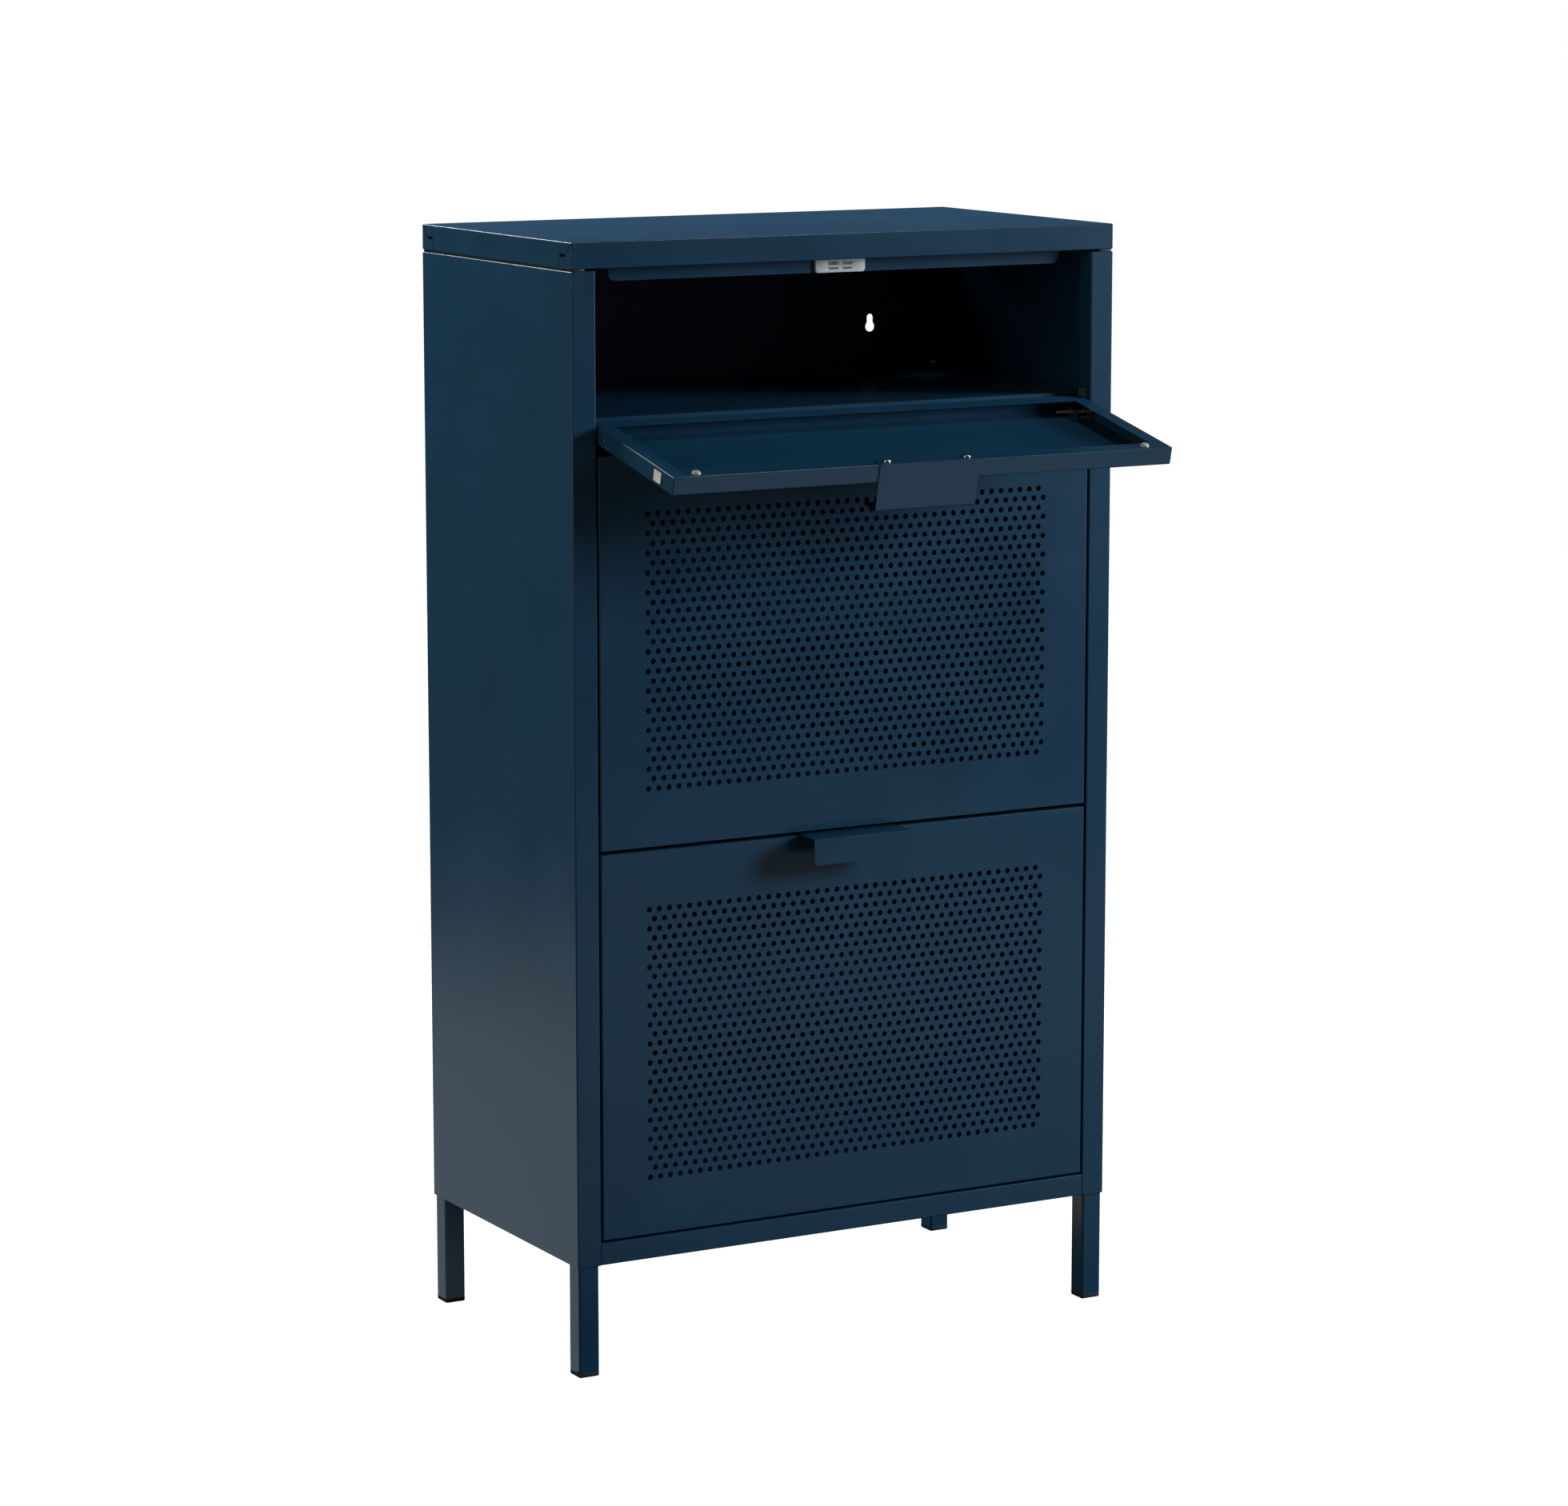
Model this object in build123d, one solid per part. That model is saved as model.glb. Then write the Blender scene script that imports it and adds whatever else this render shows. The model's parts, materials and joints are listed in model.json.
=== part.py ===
from build123d import *
import math
import os

# Tall sheet-steel shoe cabinet: a drop-down flap over two perforated tilt-out doors, on four
# square tube legs.  Millimetres.  +X is to the right, -Y is the front, +Z is up.  The origin is
# on the floor, in the middle between the side faces and half way from front face to back face.

# ---- overall sizes -------------------------------------------------------------------------------
width = 550.0  # across the outer faces of the side panels
depth = 300.0  # from the front of the stiles to the back of the back panel
leg_height = 101.0  # floor to the underside of the cabinet
rail_height = 20.0  # front rail below the lower door
door_height = 347.5  # both tilt-out doors
flap_height = 156.5  # drop-down flap
apron_height = 23.0  # rim of the top

# ---- gaps between what moves and what stays ------------------------------------------------------
rail_gap = 2.0  # front rail to lower door
door_gap = 3.0  # lower door to upper door
flap_gap = 3.0  # upper door to flap
top_gap = 2.0  # flap to the rim of the top
side_gap = 2.0  # door edges to the stiles
reveal = 2.0  # dark joint between side panel and top

# ---- sheet, folds and fits -----------------------------------------------------------------------
sheet = 0.8
bend_radius = 1.2
pin_fit = 0.08  # radial running clearance of a pivot pin in the stile
fastener_fit = 0.05  # radial clearance of a screw or rivet in its hole
seat_gap = 0.3  # clearance between pieces that stand against each other
past = 1.0  # how far a cutter runs past the face that it opens

# ---- side panels ---------------------------------------------------------------------------------
rear_flange = 24.0
top_flange = 15.0

# ---- top -----------------------------------------------------------------------------------------
apron_return = 15.0
relief_back = 12.0  # corner slit: how far it runs from the corner
relief_drop = 9.3
relief_slot = 9.5
relief_slot_height = 2.4
relief_hole = 2.2
relief_hole_rise = 1.0
tab_length = 24.3
slit_width = 0.7
stop_rail_inset = 23.0  # from the inner edge of a stile
stop_rail_fit = 0.4  # from the inside of the rim
stop_rail_drop = 12.5
stop_rail_corner = 6.0

# ---- doors ---------------------------------------------------------------------------------------
pan_depth = 16.0
pan_lip = 15.0
stop_gap = 4.0  # back of the doors to the face of the stop rails
hole_diameter = 5.0
hole_pitch = 10.0
hole_margin_side = 47.0  # least distance from a door's end to the first hole's centre
hole_margin_edge = 52.0  # least distance from a door's long edges
row_pitch = hole_pitch * math.sqrt(3) / 2
door_pivot_depth = 5.0
door_pivot_rise = 8.0
flap_pivot_depth = 4.5
flap_pivot_rise = 12.0
flap_open_angle = 102.4

# ---- handles -------------------------------------------------------------------------------------
handle_width = 100.0
handle_reach = 26.0
handle_lip = 24.0
handle_flange = 12.0
handle_corner = 4.0
handle_bend = 2.0
handle_screw_offset = 40.0

# ---- legs ----------------------------------------------------------------------------------------
leg_side = 20.0
leg_wall = 1.5
leg_corner = 2.0
leg_inset = 1.25  # outer face of the cabinet to the leg
leg_room = 1.75  # leg to the inner edge of the stile
leg_cap_height = 4.0
leg_cap_plug = 12.0
leg_screw_spacing = 9.0
rear_screw_count = 4  # on each side, above the two that hold the leg
rear_screw_end = 123.0
back_inset = 1.0

# ---- rack in each tilt-out door ------------------------------------------------------------------
cheek_gap = 3.2  # cheek to the end of the door
cheek_flange = 14.0
rack_base = 14.0
rack_top_gap = 47.5  # door's top edge to the top of the cheeks
rack_back_gap = 92.0  # back of the cabinet to the deepest point of the cheeks
rack_foot = 50.0
rack_heel_rise = 92.0
rack_shoulder_rise = 150.0
rack_shoulder_back = 12.0
rack_crown_back = 88.0
rack_crown_drop = 15.0
tray_start = 8.0  # door's lip to the front edge of a tray
tray_rise = 16.0
tray_slope = 24.0
tray_back_gap = 17.7  # deepest point of the cheeks to the end of the low tray
upper_tray_slope = 31.0
upper_tray_back_gap = 67.4
upper_tray_drop = 125.0  # top of the cheeks to the front edge of the high tray
tray_lip = 24.0

# ---- catches, pins and small trim ----------------------------------------------------------------
catch_width = 50.0
catch_height = 12.0
catch_face = 2.4
catch_body_width = 42.0
catch_body_depth = 10.0
catch_body_inset = 1.5
catch_corner = 2.5
pole_width = 10.0
pole_offset = 7.0
pole_depth = 6.0
pole_stand_out = 0.2
POLE_ROWS = [(6.4, 3.2), (2.6, 1.8)]  # rise and height of the tall and the low poles
pin_diameter = 4.0
pin_reach = 4.0  # pivot pin past the inner face of the stile
pin_inside = 12.0
collar_length = 2.0
bolt_length = 32.5
sleeve_diameter = 6.4
sleeve_length = 10.4
spring_diameter = 6.8
bracket_length = 21.0
bracket_sheet = 1.0
bracket_ear = 9.0
bracket_below = 6.0
bracket_above = 18.0
bracket_rivet_depth = 2.8
bracket_rivet_rise = 12.7
bracket_rivet_head = 0.6
bracket_rivet_head_diameter = 5.0
spring_room = 1.0
collar_diameter = 7.0
screw_diameter = 3.5
screw_head = 7.0
screw_head_height = 2.2
low_head_height = 1.8
screw_length = 8.0
bumper_diameter = 8.0
bumper_height = 3.0
bumper_round = 2.4
bumper_inset = 25.0
bumper_drop = 7.5
pad_width = 10.0
pad_length = 13.0
pad_thickness = 0.8
pad_from_edge = 21.5
keyhole_inset = 81.4  # side face to the keyhole's centre
keyhole_above_shelf = 42.0
keyhole_diameter = 10.0
keyhole_slot = 6.8
keyhole_rise = 12.0
shelf_lip = 7.0
shelf_hem = 12.0
shelf_skirt = 15.0
shelf_above_flap = 28.0  # lower edge of the closed flap to the shelf's upper face
clip_start = 6.0
clip_length = 13.0
clip_height = 8.0
clip_thickness = 1.0
channel_height = 20.0
channel_depth = 25.0
channel_drop = 1.5
rivet_diameter = 4.0
rivet_head = 8.0
rivet_inset = 40.0  # front or back of the top to the rivet

# ---- places worked out from the sizes above ------------------------------------------------------
front = -depth / 2
back = depth / 2
side = width / 2
stile_width = leg_inset + leg_side + leg_room
door_half = side - stile_width - side_gap
opening_half = side - stile_width
body_bottom = leg_height
rail_top = body_bottom + rail_height
lower_bottom = rail_top + rail_gap
lower_top = lower_bottom + door_height
upper_bottom = lower_top + door_gap
upper_top = upper_bottom + door_height
flap_bottom = upper_top + flap_gap
flap_top = flap_bottom + flap_height
apron_bottom = flap_top + top_gap
total_height = apron_bottom + apron_height
side_top = apron_bottom - reveal
back_inner = back - sheet  # front of the back panel
flange_inner = back_inner - sheet  # front of the side panels' rear flanges
side_inner = side - sheet
stop_plane = front + pan_depth + stop_gap
shelf_height = flap_bottom + shelf_above_flap
keyhole_height = shelf_height + keyhole_above_shelf
keyhole_x = side - keyhole_inset
hole_columns = int((2 * (door_half - hole_margin_side) - hole_pitch / 2) / hole_pitch) + 1
hole_rows = int((door_height - 2 * hole_margin_edge) / row_pitch) + 1
rack_top = door_height - rack_top_gap
rack_reach = depth - rack_back_gap
pin_bore = pin_diameter + 2 * fastener_fit
screw_bore = screw_diameter + 2 * fastener_fit
rivet_bore = rivet_diameter + 2 * fastener_fit
SIDES = {"left": -1, "right": 1}


def block(x, y, z):
    """A box between two limits on each axis."""
    size = [abs(b - a) for a, b in (x, y, z)]
    middle = [(a + b) / 2 for a, b in (x, y, z)]
    return Pos(*middle) * Box(*size)


def mirrored(sign, x):
    """An X span on the right side, or its mirror image on the left side."""
    return (sign * x[0], sign * x[1])


def rod(diameter, start, end, y, z):
    """A round bar along X."""
    return Pos((start + end) / 2, y, z) * Rot(0, 90, 0) * Cylinder(diameter / 2, abs(end - start))


def bar_y(diameter, start, end, x, z):
    """A round bar along Y."""
    return Pos(x, (start + end) / 2, z) * Rot(90, 0, 0) * Cylinder(diameter / 2, abs(end - start))


def profile_yz(points, x_from, x_to):
    """A flat outline in the YZ plane, swept straight along X."""
    outline = make_face(Polyline([Vector(0, y, z) for y, z in points], close=True))
    return Pos(x_from, 0, 0) * extrude(outline, x_to - x_from, dir=(1, 0, 0))


# ---- fixed body ----------------------------------------------------------------------------------
def side_panel(sign):
    """One folded side: outer face, stile with its return, rear flange and top flange."""
    z = (body_bottom, side_top)
    inner = side - sheet
    panel = block(mirrored(sign, (inner, side)), (front, back_inner), z)
    panel += block(mirrored(sign, (opening_half, side)), (front, front + sheet), z)
    panel += block(mirrored(sign, (opening_half, opening_half + sheet)), (front, stop_plane), z)
    panel += block(mirrored(sign, (side - rear_flange, side)), (flange_inner, back_inner), z)
    cap = (side_top - sheet, side_top)
    panel += block(mirrored(sign, (side - top_flange, side)), (front, back_inner), cap)
    panel += block(mirrored(sign, (opening_half, side)), (front, stop_plane), cap)
    places = (sign * side, sign * opening_half)
    corners = [e for e in panel.edges().filter_by(Axis.Z) if any(on_edge(e, x, front) for x in places)]
    rim = [e for e in panel.edges().filter_by(Axis.Y) if on_rim(e, sign * side, side_top)]
    panel = fillet(corners + rim, bend_radius)
    hole = mirrored(sign, (opening_half - past, opening_half + sheet + past))
    for y, z in pivots():
        panel -= rod(pin_diameter + 2 * pin_fit, *hole, y, z)
    for y, z in front_leg_screws():
        panel -= rod(screw_bore, *hole, y, z)
    for x, z in rear_screws(sign):
        panel -= bar_y(screw_bore, flange_inner - past, back + past, x, z)
    for x, y in top_rivets(sign):
        panel -= Pos(x, y, side_top) * Cylinder(rivet_bore / 2, 4 * sheet)
    return panel


def on_edge(edge, x, y):
    """True for an upright edge at this place."""
    middle = edge.center()
    return abs(middle.X - x) < 0.01 and abs(middle.Y - y) < 0.01


def on_rim(edge, x, z):
    """True for an edge along Y at this place."""
    middle = edge.center()
    return abs(middle.X - x) < 0.01 and abs(middle.Z - z) < 0.01


def pivots():
    """Y and Z of the three pivot lines."""
    return [
        (front + door_pivot_depth, lower_bottom + door_pivot_rise),
        (front + door_pivot_depth, upper_bottom + door_pivot_rise),
        (front + flap_pivot_depth, flap_bottom + flap_pivot_rise),
    ]


def leg_screw_heights():
    """The two screws of each leg, one above the other."""
    middle = (body_bottom + rail_top) / 2
    return [middle - leg_screw_spacing / 2, middle + leg_screw_spacing / 2]


def front_leg_screws():
    """Y and Z of the screws that hold a front leg to the stile's return."""
    y = front + leg_inset + leg_side / 2
    return [(y, z) for z in leg_screw_heights()]


def rear_screws(sign):
    """X and Z of the screws through the back panel and a rear flange, the leg's two first."""
    x = sign * (side - leg_inset - leg_side / 2)
    low, high = body_bottom + rear_screw_end, side_top - rear_screw_end
    step = (high - low) / (rear_screw_count - 1)
    return [(x, z) for z in leg_screw_heights() + [low + step * i for i in range(rear_screw_count)]]


def top_rivets(sign):
    """X and Y of the rivets that join a side panel to the top."""
    x = sign * (side - top_flange / 2)
    return [(x, y) for y in (front + rivet_inset, back - rivet_inset)]


def corner_relief(sx, sy):
    """Cutters for the folded corner of the top: slit, slot and seam on the side face."""
    x = (sx * side - 2 * sheet, sx * side + 2 * sheet)
    corner = sy * depth / 2
    shoulder = total_height - bend_radius
    slot_top = shoulder - relief_drop
    slot_y = (corner - sy * relief_back, corner - sy * (relief_back + relief_slot))
    seam_y = (corner - sy * (tab_length - slit_width), corner - sy * tab_length)
    seam_foot = apron_bottom + 2 * sheet
    cutters = block(x, slot_y, (slot_top - relief_slot_height, slot_top))
    cutters += block(x, seam_y, (seam_foot, slot_top))
    cutters += block(x, (slot_y[1] + sy * slit_width, seam_y[1]), (slot_top - slit_width, slot_top))
    cutters += rod(relief_hole, *x, sum(seam_y) / 2, seam_foot + relief_hole_rise)
    return cutters + corner_slit(x, corner, sy, shoulder)


def corner_slit(x, corner, sy, shoulder):
    """Cutter for the slit that runs from the corner down into the middle of the slot's end."""
    start = Vector(0, corner + sy * past, shoulder + past * relief_drop / relief_back)
    end = Vector(0, corner - sy * (relief_back + slit_width), shoulder - relief_drop - slit_width)
    along = end - start
    slant = math.degrees(math.atan2(along.Z, along.Y))
    middle = (start + end) / 2
    bar = Rot(slant, 0, 0) * Box(x[1] - x[0], along.length, slit_width)
    return Pos(sum(x) / 2, middle.Y, middle.Z) * bar


def top_panel():
    """The top: a shallow tray, upside down, with a returned rim."""
    tray = block((-side, side), (front, back), (apron_bottom, total_height))
    tray = fillet(tray.edges(), bend_radius)
    room = (front + sheet, back - sheet)
    tray -= block((-side_inner, side_inner), room, (apron_bottom + sheet, total_height - sheet))
    mouth = side - apron_return
    mouth_y = (front + apron_return, back - apron_return)
    tray -= block((-mouth, mouth), mouth_y, (apron_bottom - past, apron_bottom + sheet + past))
    for sx in SIDES.values():
        for sy in (-1, 1):
            tray -= corner_relief(sx, sy)
        for x, y in top_rivets(sx):
            tray -= Pos(x, y, apron_bottom) * Cylinder(rivet_bore / 2, 4 * sheet)
    return tray


def top_rivet_set():
    """Four shoulder rivets that hold the top one reveal above the side panels."""
    low, high = side_top - sheet, apron_bottom + sheet
    rivets = Part()
    for x, y in top_rivets(-1) + top_rivets(1):
        rivet = Pos(x, y, (low + high) / 2) * Cylinder(rivet_diameter / 2, high - low)
        rivet += Pos(x, y, (side_top + apron_bottom) / 2) * Cylinder(rivet_head / 2, reveal)
        rivet += Pos(x, y, low - low_head_height / 2) * Cylinder(rivet_head / 2, low_head_height)
        rivet += Pos(x, y, high + low_head_height / 2) * Cylinder(rivet_head / 2, low_head_height)
        rivets += rivet
    return rivets


def top_stop_rail():
    """Angle under the front of the top: the flap's bumpers close against it."""
    half = opening_half - stop_rail_inset
    low = apron_bottom - stop_rail_drop
    high = apron_bottom + 2 * sheet
    rail = block((-half, half), (stop_plane, stop_plane + sheet), (low, high))
    ends = [e for e in rail.edges().filter_by(Axis.Y) if abs(e.center().Z - low) < 0.01]
    rail = fillet(ends, stop_rail_corner)
    flange_y = (front + sheet + stop_rail_fit, stop_plane + sheet)
    rail += block((-half, half), flange_y, (apron_bottom + sheet, high))
    return rail - catch_window(low)


def catch_window(low):
    """Cutter for the window that a catch body passes through."""
    half = catch_body_width / 2 + seat_gap
    inset = catch_body_inset - seat_gap
    z = (low + inset, low + catch_height - inset)
    return block((-half, half), (stop_plane - past, stop_plane + sheet + past), z)


def catch_lows():
    """Height of the lower edge of each magnetic catch: top, upper door, lower door."""
    channels = [upper_top - channel_drop, lower_top - channel_drop]
    return {
        "top": apron_bottom - stop_rail_drop,
        "upper": channels[0] - catch_height,
        "lower": channels[1] - catch_height,
    }


def pole_boxes(low):
    """The four steel poles of a catch, as X, Z spans: two tall ones over two low ones."""
    spans = []
    for x in (-pole_offset, pole_offset):
        for rise, height in POLE_ROWS:
            spans.append(((x - pole_width / 2, x + pole_width / 2), (low + rise, low + rise + height)))
    return spans


def catch_body(low):
    """White moulded housing of a magnetic catch, clipped into its rail."""
    half = catch_width / 2
    plate = block((-half, half), (stop_plane - catch_face, stop_plane), (low, low + catch_height))
    ends = [e for e in plate.edges().filter_by(Axis.Y) if abs(e.center().Z - low) < 0.01]
    plate = fillet(ends, catch_corner)
    inner = catch_body_width / 2
    body_z = (low + catch_body_inset, low + catch_height - catch_body_inset)
    plate += block((-inner, inner), (stop_plane, stop_plane + catch_body_depth), body_z)
    for x, z in pole_boxes(low):
        plate -= block(x, (stop_plane - catch_face - past, stop_plane + pole_depth), z)
    return plate


def catch_poles(low):
    """Steel pole pieces that stand a little out of the housing."""
    poles = Part()
    for x, z in pole_boxes(low):
        poles += block(x, (stop_plane - catch_face - pole_stand_out, stop_plane + pole_depth), z)
    return poles


def back_panel():
    """Flat back with two keyholes for wall screws."""
    x = (back_inset - side, side - back_inset)
    panel = block(x, (back_inner, back), (body_bottom, side_top))
    through = (back_inner - past, back + past)
    slot_top = keyhole_height + keyhole_rise - keyhole_slot / 2
    for sign in SIDES.values():
        centre = sign * keyhole_x
        slot = (centre - keyhole_slot / 2, centre + keyhole_slot / 2)
        panel -= bar_y(keyhole_diameter, *through, centre, keyhole_height)
        panel -= block(slot, through, (keyhole_height, slot_top))
        panel -= bar_y(keyhole_slot, *through, centre, slot_top)
        for x_hole, z_hole in rear_screws(sign):
            panel -= bar_y(screw_bore, *through, x_hole, z_hole)
    return panel


def rear_screw_row():
    """The screws of both rear edges, heads behind the back panel."""
    row = Part()
    for sign in SIDES.values():
        for x, z in rear_screws(sign):
            row += bar_y(screw_diameter, back - screw_length, back, x, z)
            row += bar_y(screw_head, back, back + low_head_height, x, z)
    return row


def leg_screw_set():
    """The screws of both front legs, heads inside the cabinet."""
    screws = Part()
    for sign in SIDES.values():
        for y, z in front_leg_screws():
            screws += rod(screw_diameter, sign * (opening_half + screw_length), sign * opening_half, y, z)
            screws += rod(screw_head, sign * opening_half, sign * (opening_half - low_head_height), y, z)
    return screws


def bottom_panel():
    """Floor of the cabinet, folded down into the front rail and along the other edges."""
    top = (rail_top - sheet, rail_top)
    nose = opening_half - seat_gap
    floor = block((-nose, nose), (front, stop_plane + seat_gap), top)
    floor += block((-side_inner, side_inner), (stop_plane + seat_gap, flange_inner), top)
    floor += block((-nose, nose), (front, front + sheet), (body_bottom, rail_top))
    floor += block((-nose, nose), (front, front + handle_flange), (body_bottom, body_bottom + sheet))
    skirt_y = front + leg_inset + leg_side + leg_corner
    skirt_x = (side_inner - sheet, side_inner)
    for sign in SIDES.values():
        floor += block(mirrored(sign, skirt_x), (skirt_y, -skirt_y), (body_bottom, rail_top))
    rear = side - leg_inset - leg_side - leg_corner
    floor += block((-rear, rear), (flange_inner - sheet, flange_inner), (body_bottom, rail_top))
    folds = [e for e in floor.edges().filter_by(Axis.X) if on_front_fold(e)]
    return fillet(folds, bend_radius)


def on_front_fold(edge):
    """True for the two long outer edges of the front rail."""
    middle = edge.center()
    at_ends = abs(middle.Z - rail_top) < 0.01 or abs(middle.Z - body_bottom) < 0.01
    return abs(middle.Y - front) < 0.01 and at_ends


def shelf():
    """Floor of the flap compartment, with a narrow hem in front and skirts on the other edges."""
    low = shelf_height - shelf_lip
    y = (stop_plane, flange_inner)
    plate = block((-side_inner, side_inner), y, (shelf_height - sheet, shelf_height))
    plate += block((-side_inner, side_inner), (stop_plane, stop_plane + sheet), (low, shelf_height))
    plate += block((-side_inner, side_inner), (stop_plane, stop_plane + shelf_hem), (low, low + sheet))
    skirt = (shelf_height - shelf_skirt, shelf_height)
    skirt_y = (stop_plane + shelf_hem + seat_gap, flange_inner)
    for sign in SIDES.values():
        plate += block(mirrored(sign, (side_inner - sheet, side_inner)), skirt_y, skirt)
    plate += block((-side_inner, side_inner), (flange_inner - sheet, flange_inner), skirt)
    return plate


def channel(top):
    """Cross rail behind the top edge of a door: it stops the door and carries a catch."""
    low = top - channel_height
    x = (-side_inner, side_inner)
    rail = block(x, (stop_plane, stop_plane + sheet), (low, top))
    rail += block(x, (stop_plane, stop_plane + channel_depth), (top - sheet, top))
    rail += block(x, (stop_plane, stop_plane + channel_depth), (low, low + sheet))
    return rail - catch_window(top - catch_height)


def shelf_clip(sign):
    """Small grey clip on the stile's return, over the front corner of the shelf."""
    x = mirrored(sign, (opening_half - clip_thickness, opening_half))
    z = (shelf_height - clip_height / 2, shelf_height + clip_height / 2)
    return block(x, (front + clip_start, front + clip_start + clip_length), z)


def leg_centre(sx, sy):
    """Centre line of a leg."""
    x = sx * (side - leg_inset - leg_side / 2)
    y = front + leg_inset + leg_side / 2 if sy < 0 else flange_inner - seat_gap - leg_side / 2
    return x, y


def leg(sx, sy):
    """Square tube leg."""
    x, y = leg_centre(sx, sy)
    low, high = leg_cap_height, rail_top - sheet
    half = leg_side / 2
    tube = block((x - half, x + half), (y - half, y + half), (low, high))
    tube = fillet(tube.edges().filter_by(Axis.Z), leg_corner)
    bore = half - leg_wall
    tube -= block((x - bore, x + bore), (y - bore, y + bore), (low - past, high + past))
    for z in leg_screw_heights():
        if sy < 0:
            tube -= rod(screw_bore, x - sx * leg_side, x, y, z)
        else:
            tube -= bar_y(screw_bore, y, y + leg_side, x, z)
    return tube


def leg_cap(sx, sy):
    """Plastic foot: a plate the size of the tube, with a plug inside it."""
    x, y = leg_centre(sx, sy)
    half = leg_side / 2
    cap = block((x - half, x + half), (y - half, y + half), (0, leg_cap_height))
    cap = fillet(cap.edges().filter_by(Axis.Z), leg_corner)
    plug = half - leg_wall - fastener_fit
    plug_z = (leg_cap_height, leg_cap_height + leg_cap_plug)
    return cap + block((x - plug, x + plug), (y - plug, y + plug), plug_z)


# ---- doors and flap, modelled closed -------------------------------------------------------------
def pan(bottom, height):
    """Folded door: front sheet, rim and returned lips."""
    top = bottom + height
    rear = front + pan_depth
    shell = block((-door_half, door_half), (front, rear), (bottom, top))
    shell = fillet(shell.edges(), bend_radius)
    inner = door_half - sheet
    shell -= block((-inner, inner), (front + sheet, rear - sheet), (bottom + sheet, top - sheet))
    mouth = door_half - pan_lip
    lip_y = (rear - sheet - past, rear + past)
    shell -= block((-mouth, mouth), lip_y, (bottom + pan_lip, top - pan_lip))
    for x, z in handle_screw_places(top):
        shell -= bar_y(screw_bore, *lip_y, x, z)
    return shell


def handle_screw_places(top):
    """X and Z of the two screws that hold a pull."""
    return [(sign * handle_screw_offset, top - handle_flange / 2) for sign in SIDES.values()]


def pin_holes(shell, y, z, diameter):
    """Holes in both ends of a door, on one line along X."""
    for sign in SIDES.values():
        shell -= rod(diameter, sign * (door_half - sheet - past), sign * (door_half + past), y, z)
    return shell


def hole_centres(bottom):
    """Staggered perforation, centred in a door, with both outer rows starting at the left."""
    span = (hole_columns - 1) * hole_pitch + hole_pitch / 2
    rise = (hole_rows - 1) * row_pitch
    first_x = -span / 2
    first_z = bottom + (door_height - rise) / 2
    centres = []
    for row in range(hole_rows):
        shift = (row % 2) * hole_pitch / 2
        for column in range(hole_columns):
            centres.append((first_x + shift + column * hole_pitch, first_z + row * row_pitch))
    return centres


def tilt_door(bottom):
    """Perforated pan of a tilt-out door."""
    shell = pan(bottom, door_height)
    shell = pin_holes(shell, front + door_pivot_depth, bottom + door_pivot_rise, pin_bore)
    face = Plane.XZ.offset(-front + past)
    discs = Sketch() + [face * Pos(x, z) * Circle(hole_diameter / 2) for x, z in hole_centres(bottom)]
    return shell - extrude(discs, -(sheet + 2 * past))


def handle(top):
    """Bent pull over the top edge of a door, screwed to the lip behind it."""
    half = handle_width / 2
    rear = front + pan_depth
    nose = front - handle_reach
    pull = block((-half, half), (nose, rear + sheet), (top, top + sheet))
    lip = block((-half, half), (nose, nose + sheet), (top + sheet - handle_lip, top + sheet))
    feet = [e for e in lip.edges().filter_by(Axis.Y) if e.center().Z < top]
    lip = fillet(feet, handle_corner)
    pull += lip
    pull += block((-half, half), (rear, rear + sheet), (top - handle_flange, top + sheet))
    bends = [e for e in pull.edges().filter_by(Axis.X) if on_handle_bend(e, top)]
    pull = fillet(bends, handle_bend)
    for x, z in handle_screw_places(top):
        pull -= bar_y(screw_bore, rear - past, rear + sheet + past, x, z)
    return pull


def on_handle_bend(edge, top):
    """True for the outer edge between the handle's plate and its front lip."""
    middle = edge.center()
    return abs(middle.Y - (front - handle_reach)) < 0.01 and abs(middle.Z - (top + sheet)) < 0.01


def handle_screws(top):
    """Two pan-head screws through the handle's flange and the door's lip."""
    pair = Part()
    seat = front + pan_depth + sheet
    for x, z in handle_screw_places(top):
        pair += bar_y(screw_diameter, seat - screw_length, seat, x, z)
        head = bar_y(screw_head, seat, seat + screw_head_height, x, z)
        rim = head.edges().filter_by(GeomType.CIRCLE).sort_by(Axis.Y)[-1]
        pair += fillet(rim, screw_head_height / 2)
    return pair


def door_pin(sign, bottom):
    """Pivot pin of a tilt-out door, with a collar inside the pan."""
    y, z = front + door_pivot_depth, bottom + door_pivot_rise
    seat = door_half - sheet
    pin = rod(pin_diameter, sign * (door_half - pin_inside), sign * (opening_half + pin_reach), y, z)
    return pin + rod(collar_diameter, sign * (seat - collar_length), sign * seat, y, z)


def cheek_outline(bottom):
    """Outline of a rack cheek behind a door, as Y and Z."""
    shape = [
        (pan_depth, rack_base),
        (rack_foot, rack_base),
        (rack_reach, rack_heel_rise),
        (rack_reach - rack_shoulder_back, rack_shoulder_rise),
        (rack_reach - rack_crown_back, rack_top - rack_crown_drop),
        (pan_depth, rack_top),
    ]
    return [(front + y, bottom + z) for y, z in shape]


def cheek(sign, bottom):
    """Side plate of the rack, with a flange on the door's lip."""
    outer = door_half - cheek_gap
    near, far = sorted((sign * (outer - sheet), sign * outer))
    plate = profile_yz(cheek_outline(bottom), near, far)
    flange_x = mirrored(sign, (outer - cheek_flange, outer))
    rear = front + pan_depth
    return plate + block(flange_x, (rear, rear + sheet), (bottom + rack_base, bottom + rack_top))


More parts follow.
